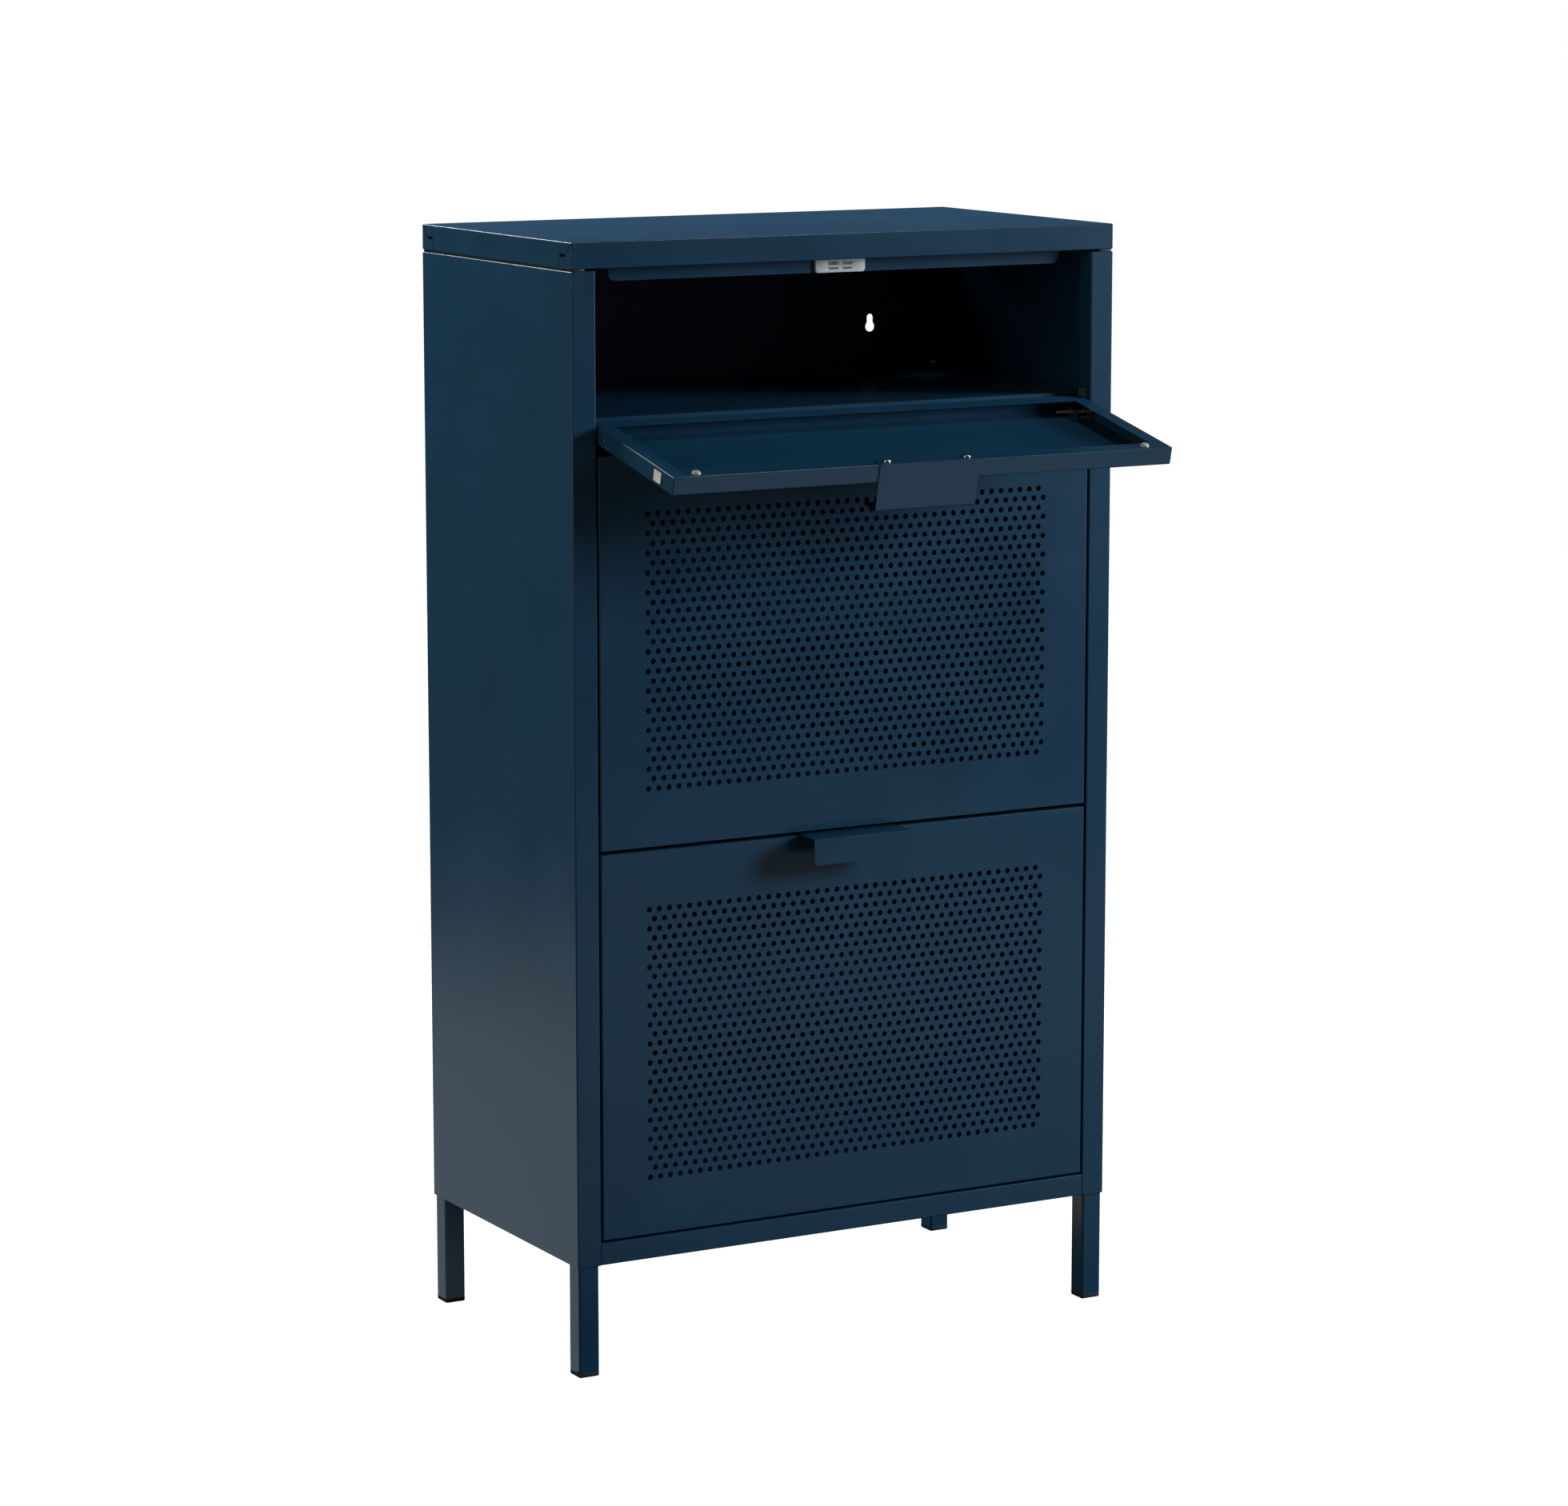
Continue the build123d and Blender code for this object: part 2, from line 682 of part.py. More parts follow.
def tray_outline(bottom, rise, slope, back_gap):
    """Cross-section of a rack tray: a short front lip, a sloping floor and a heel lip."""
    angle = math.radians(slope)
    length = (rack_reach - back_gap - pan_depth - tray_start) / math.cos(angle)
    along = Vector(math.cos(angle), math.sin(angle))
    up = Vector(-math.sin(angle), math.cos(angle))
    start = Vector(front + pan_depth + tray_start, bottom + rise)
    end = start + along * length
    path = [
        start + up * tray_lip / 2,
        start,
        end,
        end + up * tray_lip,
        end + up * tray_lip - along * sheet,
        end + up * sheet - along * sheet,
        start + up * sheet + along * sheet,
        start + up * tray_lip / 2 + along * sheet,
    ]
    return [(p.X, p.Y) for p in path]


def tray(bottom, rise, slope, back_gap):
    """One sloping tray between the cheeks."""
    half = door_half - cheek_gap - sheet
    return profile_yz(tray_outline(bottom, rise, slope, back_gap), -half, half)


# ---- flap hardware, modelled with the flap closed ------------------------------------------------
def flap_pivot():
    """Y and Z of the flap's pivot line."""
    return front + flap_pivot_depth, flap_bottom + flap_pivot_rise


def opened(shape):
    """The flap's pieces swung down to where it rests open."""
    y, z = flap_pivot()
    return Pos(0, y, z) * Rot(flap_open_angle, 0, 0) * Pos(0, -y, -z) * shape


def flap_pan():
    """The flap's plain pan."""
    y, z = flap_pivot()
    shell = pin_holes(pan(flap_bottom, flap_height), y, z, pin_bore)
    rivet_y, rivet_z = bracket_rivet()
    shell = pin_holes(shell, rivet_y, rivet_z, rivet_bore)
    return opened(shell)


def bracket_rivet():
    """Y and Z of the rivet that holds a hinge bracket to the end of the flap."""
    y, z = flap_pivot()
    return y + bracket_rivet_depth, z + bracket_rivet_rise


def flap_bracket(sign):
    """U-shaped bracket in the hinge corner: outer ear, base on the front sheet, inner ear."""
    y, z = flap_pivot()
    outer = door_half - sheet
    inner = door_half - bracket_length
    floor_y = front + sheet
    span_z = (z - bracket_below, z + bracket_above)
    base_z = (z + spring_diameter / 2 + spring_room, z + bracket_above)
    bracket = block(mirrored(sign, (inner, outer)), (floor_y, floor_y + bracket_sheet), base_z)
    ear_y = (floor_y, floor_y + bracket_ear)
    bracket += block(mirrored(sign, (inner, inner + bracket_sheet)), ear_y, span_z)
    bracket += block(mirrored(sign, (outer - sheet, outer)), ear_y, span_z)
    bracket -= rod(pin_bore, sign * (inner - past), sign * (inner + bracket_sheet + past), y, z)
    sleeve_bore = sleeve_diameter + 2 * fastener_fit
    bracket -= rod(sleeve_bore, sign * (outer - sheet - past), sign * (outer + past), y, z)
    rivet_y, rivet_z = bracket_rivet()
    bracket += rod(rivet_diameter, sign * (outer - sheet), sign * door_half, rivet_y, rivet_z)
    head_end = sign * (door_half + bracket_rivet_head)
    return bracket + rod(bracket_rivet_head_diameter, sign * door_half, head_end, rivet_y, rivet_z)


def flap_pin(sign):
    """Spring-loaded pivot bolt of the flap: rod and chrome sleeve."""
    y, z = flap_pivot()
    bolt = rod(pin_diameter, sign * (door_half - bolt_length), sign * (opening_half + pin_reach), y, z)
    return bolt + rod(sleeve_diameter, sign * (door_half - sleeve_length), sign * (door_half - sheet), y, z)


def flap_spring(sign):
    """Spring on the bolt, between the inner ear and the sleeve."""
    y, z = flap_pivot()
    start, end = door_half - bracket_length + bracket_sheet, door_half - sleeve_length
    spring = rod(spring_diameter, sign * start, sign * end, y, z)
    return spring - rod(pin_bore, sign * (start - past), sign * (end + past), y, z)


def flap_bumper(sign):
    """Soft dome on the lip of the flap's free edge."""
    seat = front + pan_depth
    x, z = sign * (door_half - bumper_inset), flap_top - bumper_drop
    dome = bar_y(bumper_diameter, seat, seat + bumper_height, x, z)
    rim = dome.edges().filter_by(GeomType.CIRCLE).sort_by(Axis.Y)[-1]
    return fillet(rim, bumper_round)


def flap_pad(sign):
    """White guide pad on the end of the flap."""
    x = mirrored(sign, (door_half, door_half + pad_thickness))
    middle = front + pan_depth / 2
    top = flap_top - pad_from_edge
    return block(x, (middle - pad_width / 2, middle + pad_width / 2), (top - pad_length, top))


# ---- all nodes -----------------------------------------------------------------------------------
def fixed_nodes():
    """Pieces of the standing cabinet."""
    nodes = {
        "top_panel": top_panel(),
        "top_rivets": top_rivet_set(),
        "top_stop_rail": top_stop_rail(),
        "back_panel": back_panel(),
        "back_screws": rear_screw_row(),
        "leg_screws": leg_screw_set(),
        "bottom_panel": bottom_panel(),
        "shelf": shelf(),
        "upper_channel": channel(upper_top - channel_drop),
        "lower_channel": channel(lower_top - channel_drop),
    }
    for name, low in catch_lows().items():
        nodes[f"catch_body_{name}"] = catch_body(low)
        nodes[f"catch_poles_{name}"] = catch_poles(low)
    for name, sx in SIDES.items():
        nodes[f"side_panel_{name}"] = side_panel(sx)
        nodes[f"shelf_clip_{name}"] = shelf_clip(sx)
        for place, sy in {"front": -1, "rear": 1}.items():
            nodes[f"leg_{place}_{name}"] = leg(sx, sy)
            nodes[f"leg_cap_{place}_{name}"] = leg_cap(sx, sy)
    return nodes


def tilt_door_nodes(name, bottom):
    """Pieces of one tilt-out door with its rack."""
    top = bottom + door_height
    high_tray = rack_top - upper_tray_drop
    nodes = {
        f"{name}_door_pan": tilt_door(bottom),
        f"{name}_door_handle": handle(top),
        f"{name}_door_handle_screws": handle_screws(top),
        f"{name}_rack_tray_low": tray(bottom, rack_base + tray_rise, tray_slope, tray_back_gap),
        f"{name}_rack_tray_high": tray(bottom, high_tray, upper_tray_slope, upper_tray_back_gap),
    }
    for place, sign in SIDES.items():
        nodes[f"{name}_rack_cheek_{place}"] = cheek(sign, bottom)
        nodes[f"{name}_door_pin_{place}"] = door_pin(sign, bottom)
    return nodes


def flap_nodes():
    """Pieces of the flap, swung open."""
    nodes = {
        "flap_pan": flap_pan(),
        "flap_handle": opened(handle(flap_top)),
        "flap_handle_screws": opened(handle_screws(flap_top)),
    }
    for place, sign in SIDES.items():
        nodes[f"flap_bracket_{place}"] = opened(flap_bracket(sign))
        nodes[f"flap_pin_{place}"] = opened(flap_pin(sign))
        nodes[f"flap_spring_{place}"] = opened(flap_spring(sign))
        nodes[f"flap_bumper_{place}"] = opened(flap_bumper(sign))
        nodes[f"flap_pad_{place}"] = opened(flap_pad(sign))
    return nodes


def main():
    """Write one STEP file for each node."""
    os.makedirs("parts", exist_ok=True)
    nodes = fixed_nodes()
    nodes.update(tilt_door_nodes("lower", lower_bottom))
    nodes.update(tilt_door_nodes("upper", upper_bottom))
    nodes.update(flap_nodes())
    for name, shape in nodes.items():
        export_step(shape, f"parts/{name}.step")


main()
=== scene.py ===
"""Tall sheet-steel shoe cabinet: navy powder coat, drop-down flap, two perforated tilt-out doors.

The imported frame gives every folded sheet. This script dresses those sheets and models the small parts
that a stand-in would lack: sprung hinge bolts, cross-recess screws, catches, bumpers, clips and feet.
"""

import json
import logging
import math
from contextlib import contextmanager
from dataclasses import dataclass
from enum import Enum
from typing import Any, Callable, Dict, Iterator, List, Optional, Sequence, Tuple

import bmesh
import bpy
from mathutils import Matrix, Vector


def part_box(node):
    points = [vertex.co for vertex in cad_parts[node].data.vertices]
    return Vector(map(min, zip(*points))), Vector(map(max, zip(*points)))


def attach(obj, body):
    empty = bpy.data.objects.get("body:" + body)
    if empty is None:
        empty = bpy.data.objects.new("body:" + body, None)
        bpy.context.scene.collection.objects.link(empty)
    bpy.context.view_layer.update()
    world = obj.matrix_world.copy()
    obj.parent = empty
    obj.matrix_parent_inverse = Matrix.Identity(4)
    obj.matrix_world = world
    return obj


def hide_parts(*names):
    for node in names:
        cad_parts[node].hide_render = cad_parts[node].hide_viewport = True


LOG = logging.getLogger("shoe_cabinet")

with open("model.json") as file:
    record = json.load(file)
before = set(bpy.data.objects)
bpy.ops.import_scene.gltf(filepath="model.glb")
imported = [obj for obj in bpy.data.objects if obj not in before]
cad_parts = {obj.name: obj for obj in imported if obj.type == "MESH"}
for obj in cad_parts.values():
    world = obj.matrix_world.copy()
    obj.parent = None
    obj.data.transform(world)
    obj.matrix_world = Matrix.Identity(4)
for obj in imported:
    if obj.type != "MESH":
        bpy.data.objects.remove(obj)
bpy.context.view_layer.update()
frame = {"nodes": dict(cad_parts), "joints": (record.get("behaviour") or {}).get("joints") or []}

MM = 0.001
SIDES = {"left": -1.0, "right": 1.0}
SMOOTH_ANGLE = math.radians(35)
# least part of a face's normal that lies along an axis, for the face to count as facing that way
FACING = 0.9
WHITE = "#FFFFFF"
# how much of the grain shows in a finish's tones, and the values that their mixed pattern runs between
GRAIN_SHARE = 0.35
PATTERN_RANGE = (0.4, 0.95)
CLOUD_DETAIL = 3.0

Piece = bpy.types.Object
Tree = bpy.types.NodeTree
Socket = bpy.types.NodeSocket
Material = bpy.types.Material
Pair = Tuple[float, float]


class Slot(Enum):
    """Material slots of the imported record."""

    COAT = "navy_powder_coat"
    STEEL = "bright_steel"
    WHITE = "white_plastic"
    GREY = "grey_plastic"
    BLACK = "black_plastic"
    RUBBER = "clear_rubber"


# ---- places in the frame ----
@dataclass(frozen=True)
class Span:
    """A box along the frame's axes, in metres."""

    low: Vector
    high: Vector

    @property
    def middle(self) -> Vector:
        """Centre of the box."""
        return (self.low + self.high) / 2

    @property
    def size(self) -> Vector:
        """Lengths of the box's sides."""
        return self.high - self.low

    @classmethod
    def around(cls, places: Sequence[Vector]) -> "Span":
        """Box around some points.

        Args:
            places: the points.

        Returns:
            The smallest box that holds them.
        """
        low = Vector([min(place[axis] for place in places) for axis in range(3)])
        high = Vector([max(place[axis] for place in places) for axis in range(3)])
        return cls(low, high)


def span_of(node: str, turn: Optional[Matrix] = None) -> Span:
    """Box of a CAD node, measured after turning its vertices.

    Args:
        node: the CAD node's name.
        turn: a matrix that the vertices go through first, or None.

    Returns:
        The node's box.
    """
    turn = turn or Matrix.Identity(4)
    return Span.around([turn @ vertex.co for vertex in frame["nodes"][node].data.vertices])


def joint_line(name: str) -> Vector:
    """A point on the line that a joint turns on.

    Args:
        name: the joint's name.

    Returns:
        The point, in metres.
    """
    return Vector(next(joint["pos_m"] for joint in frame["joints"] if joint["name"] == name))


def swung(name: str) -> Matrix:
    """Matrix that takes a piece from shut to where it rests open.

    Args:
        name: the joint whose whole travel is between shut and open.

    Returns:
        The turn about the joint's line.
    """
    pivot = joint_line(name)
    travel = next(joint["range_deg"][1] for joint in frame["joints"] if joint["name"] == name)
    turn = Matrix.Rotation(math.radians(travel), 4, "X")
    return Matrix.Translation(pivot) @ turn @ Matrix.Translation(-pivot)


# ---- modelling by operators ----
def activate(piece: Piece) -> None:
    """Make a piece the only selected one, and the active one.

    Args:
        piece: the piece that the next operators work on.
    """
    bpy.ops.object.select_all(action="DESELECT")
    piece.select_set(True)
    bpy.context.view_layer.objects.active = piece


@contextmanager
def editing(piece: Piece) -> Iterator[None]:
    """Edit mode on one piece, with nothing selected at the start.

    Args:
        piece: the piece to edit.
    """
    activate(piece)
    bpy.ops.object.mode_set(mode="EDIT")
    bpy.ops.mesh.select_mode(type="FACE")
    bpy.ops.mesh.select_all(action="DESELECT")
    try:
        yield
    finally:
        bpy.ops.object.mode_set(mode="OBJECT")


def pick(piece: Piece, kind: str, test: Callable[[Any], bool]) -> None:
    """Select the faces or edges of the piece in edit mode that pass a test, and nothing else.

    Args:
        piece: the piece in edit mode.
        kind: FACE or EDGE.
        test: says whether a face or an edge is wanted.
    """
    bpy.ops.mesh.select_mode(type=kind)
    bpy.ops.mesh.select_all(action="DESELECT")
    mesh = bmesh.from_edit_mesh(piece.data)
    for element in mesh.faces if kind == "FACE" else mesh.edges:
        if test(element):
            element.select_set(True)
    bmesh.update_edit_mesh(piece.data)


def pick_facing(piece: Piece, axis: int, way: float) -> None:
    """Select the faces of the piece in edit mode that face one way along an axis.

    Args:
        piece: the piece in edit mode.
        axis: 0, 1 or 2 for X, Y or Z.
        way: -1 or 1.
    """
    pick(piece, "FACE", lambda face: face.normal[axis] * way > FACING)


def runs_along(edge: bmesh.types.BMEdge, axis: int) -> bool:
    """Say whether an edge of a blank runs along an axis.

    Args:
        edge: the edge.
        axis: 0, 1 or 2 for X, Y or Z.

    Returns:
        True when its ends lie apart along that axis.
    """
    return abs((edge.verts[0].co - edge.verts[1].co)[axis]) > MM


def face_outwards() -> None:
    """Select everything in the piece in edit mode and turn its faces outwards."""
    bpy.ops.mesh.select_all(action="SELECT")
    bpy.ops.mesh.normals_make_consistent(inside=False)


def press(piece: Piece, way: float, border: float, depth: float) -> None:
    """Press a recess into the left or the right face of a blank.

    Args:
        piece: the blank.
        way: -1 for its left face, 1 for its right one.
        border: width of the rim that stays, in metres.
        depth: how far the rest goes in.
    """
    with editing(piece):
        pick_facing(piece, 0, way)
        bpy.ops.mesh.inset(thickness=border)
        bpy.ops.transform.translate(value=(-way * depth, 0, 0))


def apply_modifier(piece: Piece, kind: str, **settings: Any) -> None:
    """Add a modifier and apply it.

    Args:
        piece: the piece that it shapes.
        kind: Blender's name for the modifier's type.
        settings: the modifier's settings.
    """
    activate(piece)
    modifier = piece.modifiers.new(kind.lower(), kind)
    for key, value in settings.items():
        setattr(modifier, key, value)
    bpy.ops.object.modifier_apply(modifier=modifier.name)


def soften(piece: Piece, width: float, segments: int = 2) -> None:
    """Round the piece's sharp edges a little, as a tool or a mould leaves them.

    Args:
        piece: the piece to soften.
        width: size of the rounding, in metres.
        segments: how many faces make the rounding.
    """
    limits = {"limit_method": "ANGLE", "angle_limit": SMOOTH_ANGLE}
    apply_modifier(piece, "BEVEL", width=width, segments=segments, **limits)


def smooth(piece: Piece) -> None:
    """Shade a piece smooth, except across its sharp edges.

    Args:
        piece: the piece to shade.
    """
    activate(piece)
    bpy.ops.object.shade_smooth_by_angle(angle=SMOOTH_ANGLE)


def turned(name: str, profile: Sequence[Pair], sides: int = 32) -> Piece:
    """A lathe-turned piece along +Z, extruded ring by ring from a disc.

    Args:
        name: the piece's name.
        profile: height and radius of each ring, from the bottom up, in metres.
        sides: faces around the piece.

    Returns:
        The new piece, closed at both ends.
    """
    bpy.ops.object.select_all(action="DESELECT")
    (height, radius), rest = profile[0], profile[1:]
    bpy.ops.mesh.primitive_circle_add(vertices=sides, radius=radius, fill_type="NGON")
    piece = bpy.context.active_object
    piece.name = piece.data.name = name
    piece.data.transform(Matrix.Translation((0, 0, height)))
    with editing(piece):
        bpy.ops.mesh.select_all(action="SELECT")
        for next_height, next_radius in rest:
            step = (0, 0, next_height - height)
            bpy.ops.mesh.extrude_region_move(TRANSFORM_OT_translate={"value": step})
            share = next_radius / radius
            bpy.ops.transform.resize(value=(share, share, 1), center_override=(0, 0, next_height))
            height, radius = next_height, next_radius
        face_outwards()
    return piece


def rings_of(shares: Sequence[Pair], height: float, radius: float) -> List[Pair]:
    """Rings of a profile that is given in shares of its height and radius.

    Args:
        shares: height and radius of each ring, from 0 to 1.
        height: the whole height, in metres.
        radius: the largest radius.

    Returns:
        Height and radius of each ring, in metres.
    """
    return [(height * rise, radius * out) for rise, out in shares]


def blank(name: str, span: Span) -> Piece:
    """A rectangular blank, ready to be shaped, with its place in its mesh.

    Args:
        name: the piece's name.
        span: the box that it fills.

    Returns:
        The new piece.
    """
    bpy.ops.object.select_all(action="DESELECT")
    bpy.ops.mesh.primitive_cube_add(size=1)
    piece = bpy.context.active_object
    piece.name = piece.data.name = name
    scale = Matrix.Diagonal((*span.size, 1))
    piece.data.transform(Matrix.Translation(span.middle) @ scale)
    return piece


def cut(piece: Piece, cutter: Piece) -> None:
    """Take the cutter's shape out of the piece, and drop the cutter.

    Args:
        piece: the piece that is cut.
        cutter: the shape that is taken out of it.
    """
    apply_modifier(piece, "BOOLEAN", operation="DIFFERENCE", object=cutter, solver="EXACT")
    bpy.data.objects.remove(cutter)


def merge(name: str, parts: Sequence[Piece]) -> Piece:
    """Join parts into one piece.

    Args:
        name: the joined piece's name.
        parts: the parts, the first of which takes the others in.

    Returns:
        The joined piece.
    """
    activate(parts[0])
    for part in parts:
        part.select_set(True)
    bpy.ops.object.join()
    parts[0].name = parts[0].data.name = name
    return parts[0]


def copy_of(piece: Piece, name: str, place: Matrix) -> Piece:
    """A copy with its own mesh, moved by a matrix.

    Args:
        piece: the piece to copy.
        name: the copy's name.
        place: where the copy goes, applied to its mesh.

    Returns:
        The copy.
    """
    twin = piece.copy()
    twin.data = piece.data.copy()
    twin.name = twin.data.name = name
    bpy.context.scene.collection.objects.link(twin)
    twin.data.transform(place)
    return twin


def aim(axis: Vector, place: Vector) -> Matrix:
    """Matrix that stands a piece made along +Z on a place, pointing along an axis.

    Args:
        axis: the direction that +Z turns to.
        place: where the origin goes.

    Returns:
        The placing matrix.
    """
    return Matrix.Translation(place) @ axis.to_track_quat("Z", "Y").to_matrix().to_4x4()


# ---- node trees ----
def srgb(code: str) -> Tuple[float, float, float, float]:
    """Turn an sRGB hex value into linear colour.

    Args:
        code: the colour, such as "#1C3B57".

    Returns:
        Linear red, green, blue and an alpha of one.
    """
    values = [int(code[i : i + 2], 16) / 255 for i in (1, 3, 5)]
    linear = [v / 12.92 if v <= 0.04045 else ((v + 0.055) / 1.055) ** 2.4 for v in values]
    return (*linear, 1.0)


def add_node(
    tree: Tree,
    kind: str,
    settings: Optional[Dict[str, Any]] = None,
    inputs: Optional[Dict[Any, Any]] = None,
) -> bpy.types.Node:
    """Add a node with its settings, and fill or link its inputs.

    Args:
        tree: the node tree.
        kind: Blender's name for the node's type.
        settings: attributes of the node.
        inputs: a value or an output socket for each input.

    Returns:
        The new node.
    """
    node = tree.nodes.new(kind)
    for key, value in (settings or {}).items():
        setattr(node, key, value)
    for key, value in (inputs or {}).items():
        if isinstance(value, Socket):
            tree.links.new(value, node.inputs[key])
        else:
            node.inputs[key].default_value = value
    return node


def noise(tree: Tree, place: Socket, size: float, detail: float = 2.0) -> Socket:
    """Cloudy pattern.

    Args:
        tree: the node tree.
        place: the coordinates that it is drawn in.
        size: about how large its patches are, in metres.
        detail: how many finer layers it has.

    Returns:
        The socket that gives its value.
    """
    inputs = {"Vector": place, "Scale": 1 / size, "Detail": detail}
    return add_node(tree, "ShaderNodeTexNoise", inputs=inputs).outputs["Fac"]


def remap(tree: Tree, value: Socket, source: Pair, target: Pair) -> Socket:
    """A value moved from one range to another.

    Args:
        tree: the node tree.
        value: the value.
        source: the range that it comes in.
        target: the range that it goes to.

    Returns:
        The socket that gives the result.
    """
    inputs = {"Value": value, "From Min": source[0], "From Max": source[1],
              "To Min": target[0], "To Max": target[1]}
    return add_node(tree, "ShaderNodeMapRange", inputs=inputs).outputs["Result"]


def empty_material(name: str) -> Material:
    """A material with an empty node tree.

    Args:
        name: the material's name.

    Returns:
        The material.
    """
    material = bpy.data.materials.new(name)
    material.use_nodes = True
    material.node_tree.nodes.clear()
    return material


@dataclass(frozen=True)
class Finish:
    """What every finish shares: two tones that drift into each other, a roughness range and a fine relief.

    Lengths are in metres. Each pattern's scale is one over the size of what it shows.
    """

    name: str
    tone: str
    second_tone: str
    drift: float
    grain: float
    relief: float
    roughness: Pair
    metallic: float = 0.0
    # None keeps the shader's own value
    ior: Optional[float] = None

    def make(self) -> Material:
        """Build the material.

        Returns:
            The finished material.
        """
        material = empty_material(self.name)
        tree = material.node_tree
        place = add_node(tree, "ShaderNodeTexCoord").outputs["Object"]
        cloud = noise(tree, place, self.drift, CLOUD_DETAIL)
        speck = noise(tree, place, self.grain)
        shares = {0: speck, 1: GRAIN_SHARE, 2: cloud}
        pattern = add_node(tree, "ShaderNodeMath", {"operation": "MULTIPLY_ADD"}, shares).outputs[0]
        share = remap(tree, pattern, PATTERN_RANGE, (0.0, 1.0))
        tones = {0: share, 6: srgb(self.tone), 7: srgb(self.second_tone)}
        colour = add_node(tree, "ShaderNodeMix", {"data_type": "RGBA"}, tones).outputs[2]
        rough = remap(tree, pattern, PATTERN_RANGE, self.roughness)
        relief = {"Height": self.height(tree, place, speck), "Strength": 1.0, "Distance": self.relief}
        bump = add_node(tree, "ShaderNodeBump", inputs=relief).outputs["Normal"]
        inputs = {"Base Color": colour, "Roughness": rough, "Metallic": self.metallic, "Normal": bump}
        if self.ior is not None:
            inputs["IOR"] = self.ior
        inputs.update(self.extra())
        shader = add_node(tree, "ShaderNodeBsdfPrincipled", inputs=inputs)
        add_node(tree, "ShaderNodeOutputMaterial", inputs={"Surface": shader.outputs["BSDF"]})
        return material

    def height(self, tree: Tree, place: Socket, speck: Socket) -> Socket:
        """Height of the relief.

        Args:
            tree: the material's node tree.
            place: the object coordinates.
            speck: the fine grain.

        Returns:
            The socket that gives the height.
        """
        return speck

    def extra(self) -> Dict[str, Any]:
        """Constants that a finish sets on the shader's own sockets."""
        return {}


@dataclass(frozen=True)
class PowderCoat(Finish):
    """Polyester powder, sprayed and stoved. It melts into a satin film with a slight orange peel."""

    peel: float = 2.6 * MM
    peel_share: float = 1.6
    peel_detail: float = 1.0
    specular: float = 0.5

    def height(self, tree: Tree, place: Socket, speck: Socket) -> Socket:
        """Orange peel, with the powder's grain on it.

        Args:
            tree: the material's node tree.
            place: the object coordinates.
            speck: the fine grain.

        Returns:
            The socket that gives the height.
        """
        peel = noise(tree, place, self.peel, self.peel_detail)
        shares = {0: peel, 1: self.peel_share, 2: speck}
        return add_node(tree, "ShaderNodeMath", {"operation": "MULTIPLY_ADD"}, shares).outputs[0]

    def extra(self) -> Dict[str, Any]:
        """Strength of the film's reflection."""
        return {"Specular IOR Level": self.specular}


@dataclass(frozen=True)
class ClearRubber(Finish):
    """Cast polyurethane. It is clear, soft and a little milky, so its dome has a bright edge."""

    clearness: float = 0.55
    gloss: float = 0.4
    gloss_roughness: float = 0.08

    def extra(self) -> Dict[str, Any]:
        """Light that passes through, and a film of gloss."""
        return {
            "Transmission Weight": self.clearness,
            "Coat Weight": self.gloss,
            "Coat Roughness": self.gloss_roughness,
        }


NAVY_COAT = PowderCoat(
    name="navy_polyester_powder_coat_stoved",
    tone="#123B57",
    second_tone="#164260",
    drift=90 * MM,
    # grit of a fine powder is under 0.1 mm, drawn coarser so that it shows
    grain=0.9 * MM,
    relief=0.022 * MM,
    roughness=(0.27, 0.33),
    ior=1.5,
    specular=0.32,
)
ZINC_PLATE = Finish(
    name="zinc_plated_steel_barrel_plated",
    tone="#C9CCD0",
    second_tone="#B4B8BE",
    drift=3 * MM,
    grain=0.4 * MM,
    relief=0.012 * MM,
    roughness=(0.18, 0.32),
    metallic=1.0,
)
CHROME_PLATE = Finish(
    name="chrome_plated_steel_polished",
    tone="#DADCDE",
    second_tone="#CDD0D4",
    drift=4 * MM,
    grain=0.5 * MM,
    relief=0.004 * MM,
    roughness=(0.06, 0.14),
    metallic=1.0,
)
SPRING_STEEL = Finish(
    name="spring_steel_wire_oil_blackened",
    tone="#3A3C40",
    second_tone="#2A2B2F",
    drift=2 * MM,
    grain=0.3 * MM,
    relief=0.01 * MM,
    roughness=(0.3, 0.45),
    metallic=1.0,
)
WHITE_ABS = Finish(
    name="white_abs_injection_moulded",
    tone="#DCE2E4",
    second_tone="#D0D8DC",
    drift=12 * MM,
    grain=0.5 * MM,
    relief=0.01 * MM,
    roughness=(0.34, 0.44),
    ior=1.52,
)
# the shelf clip's tone: the dim grey that a pale moulding shows in the shade of the stile's return, painted
# shade
CLIP_SHADE_ABS = Finish(
    name="abs_with_painted_shade_injection_moulded",
    tone="#4B5760",
    second_tone="#414C55",
    drift=6 * MM,
    grain=0.5 * MM,
    relief=0.015 * MM,
    roughness=(0.42, 0.52),
    ior=1.52,
)
BLACK_PE = Finish(
    name="black_polyethylene_injection_moulded",
    tone="#14181E",
    second_tone="#1B2028",
    drift=8 * MM,
    grain=0.6 * MM,
    relief=0.03 * MM,
    roughness=(0.5, 0.62),
    ior=1.5,
)
CLEAR_PU = ClearRubber(
    name="clear_polyurethane_cast",
    tone="#EDF1F2",
    second_tone="#E2E8EA",
    drift=3 * MM,
    grain=0.6 * MM,
    relief=0.005 * MM,
    roughness=(0.12, 0.2),
    ior=1.49,
)


@dataclass
class Finishes:
    """The materials, each made once."""

    coat: Material
    zinc: Material
    chrome: Material
    spring: Material
    white: Material
    clip_shade_grey: Material
    black: Material
    rubber: Material

    @classmethod
    def made(cls) -> "Finishes":
        """Make every material.

        Returns:
            The whole set.
        """
        kinds = (NAVY_COAT, ZINC_PLATE, CHROME_PLATE, SPRING_STEEL, WHITE_ABS, CLIP_SHADE_ABS, BLACK_PE, CLEAR_PU)
        return cls(*(kind.make() for kind in kinds))


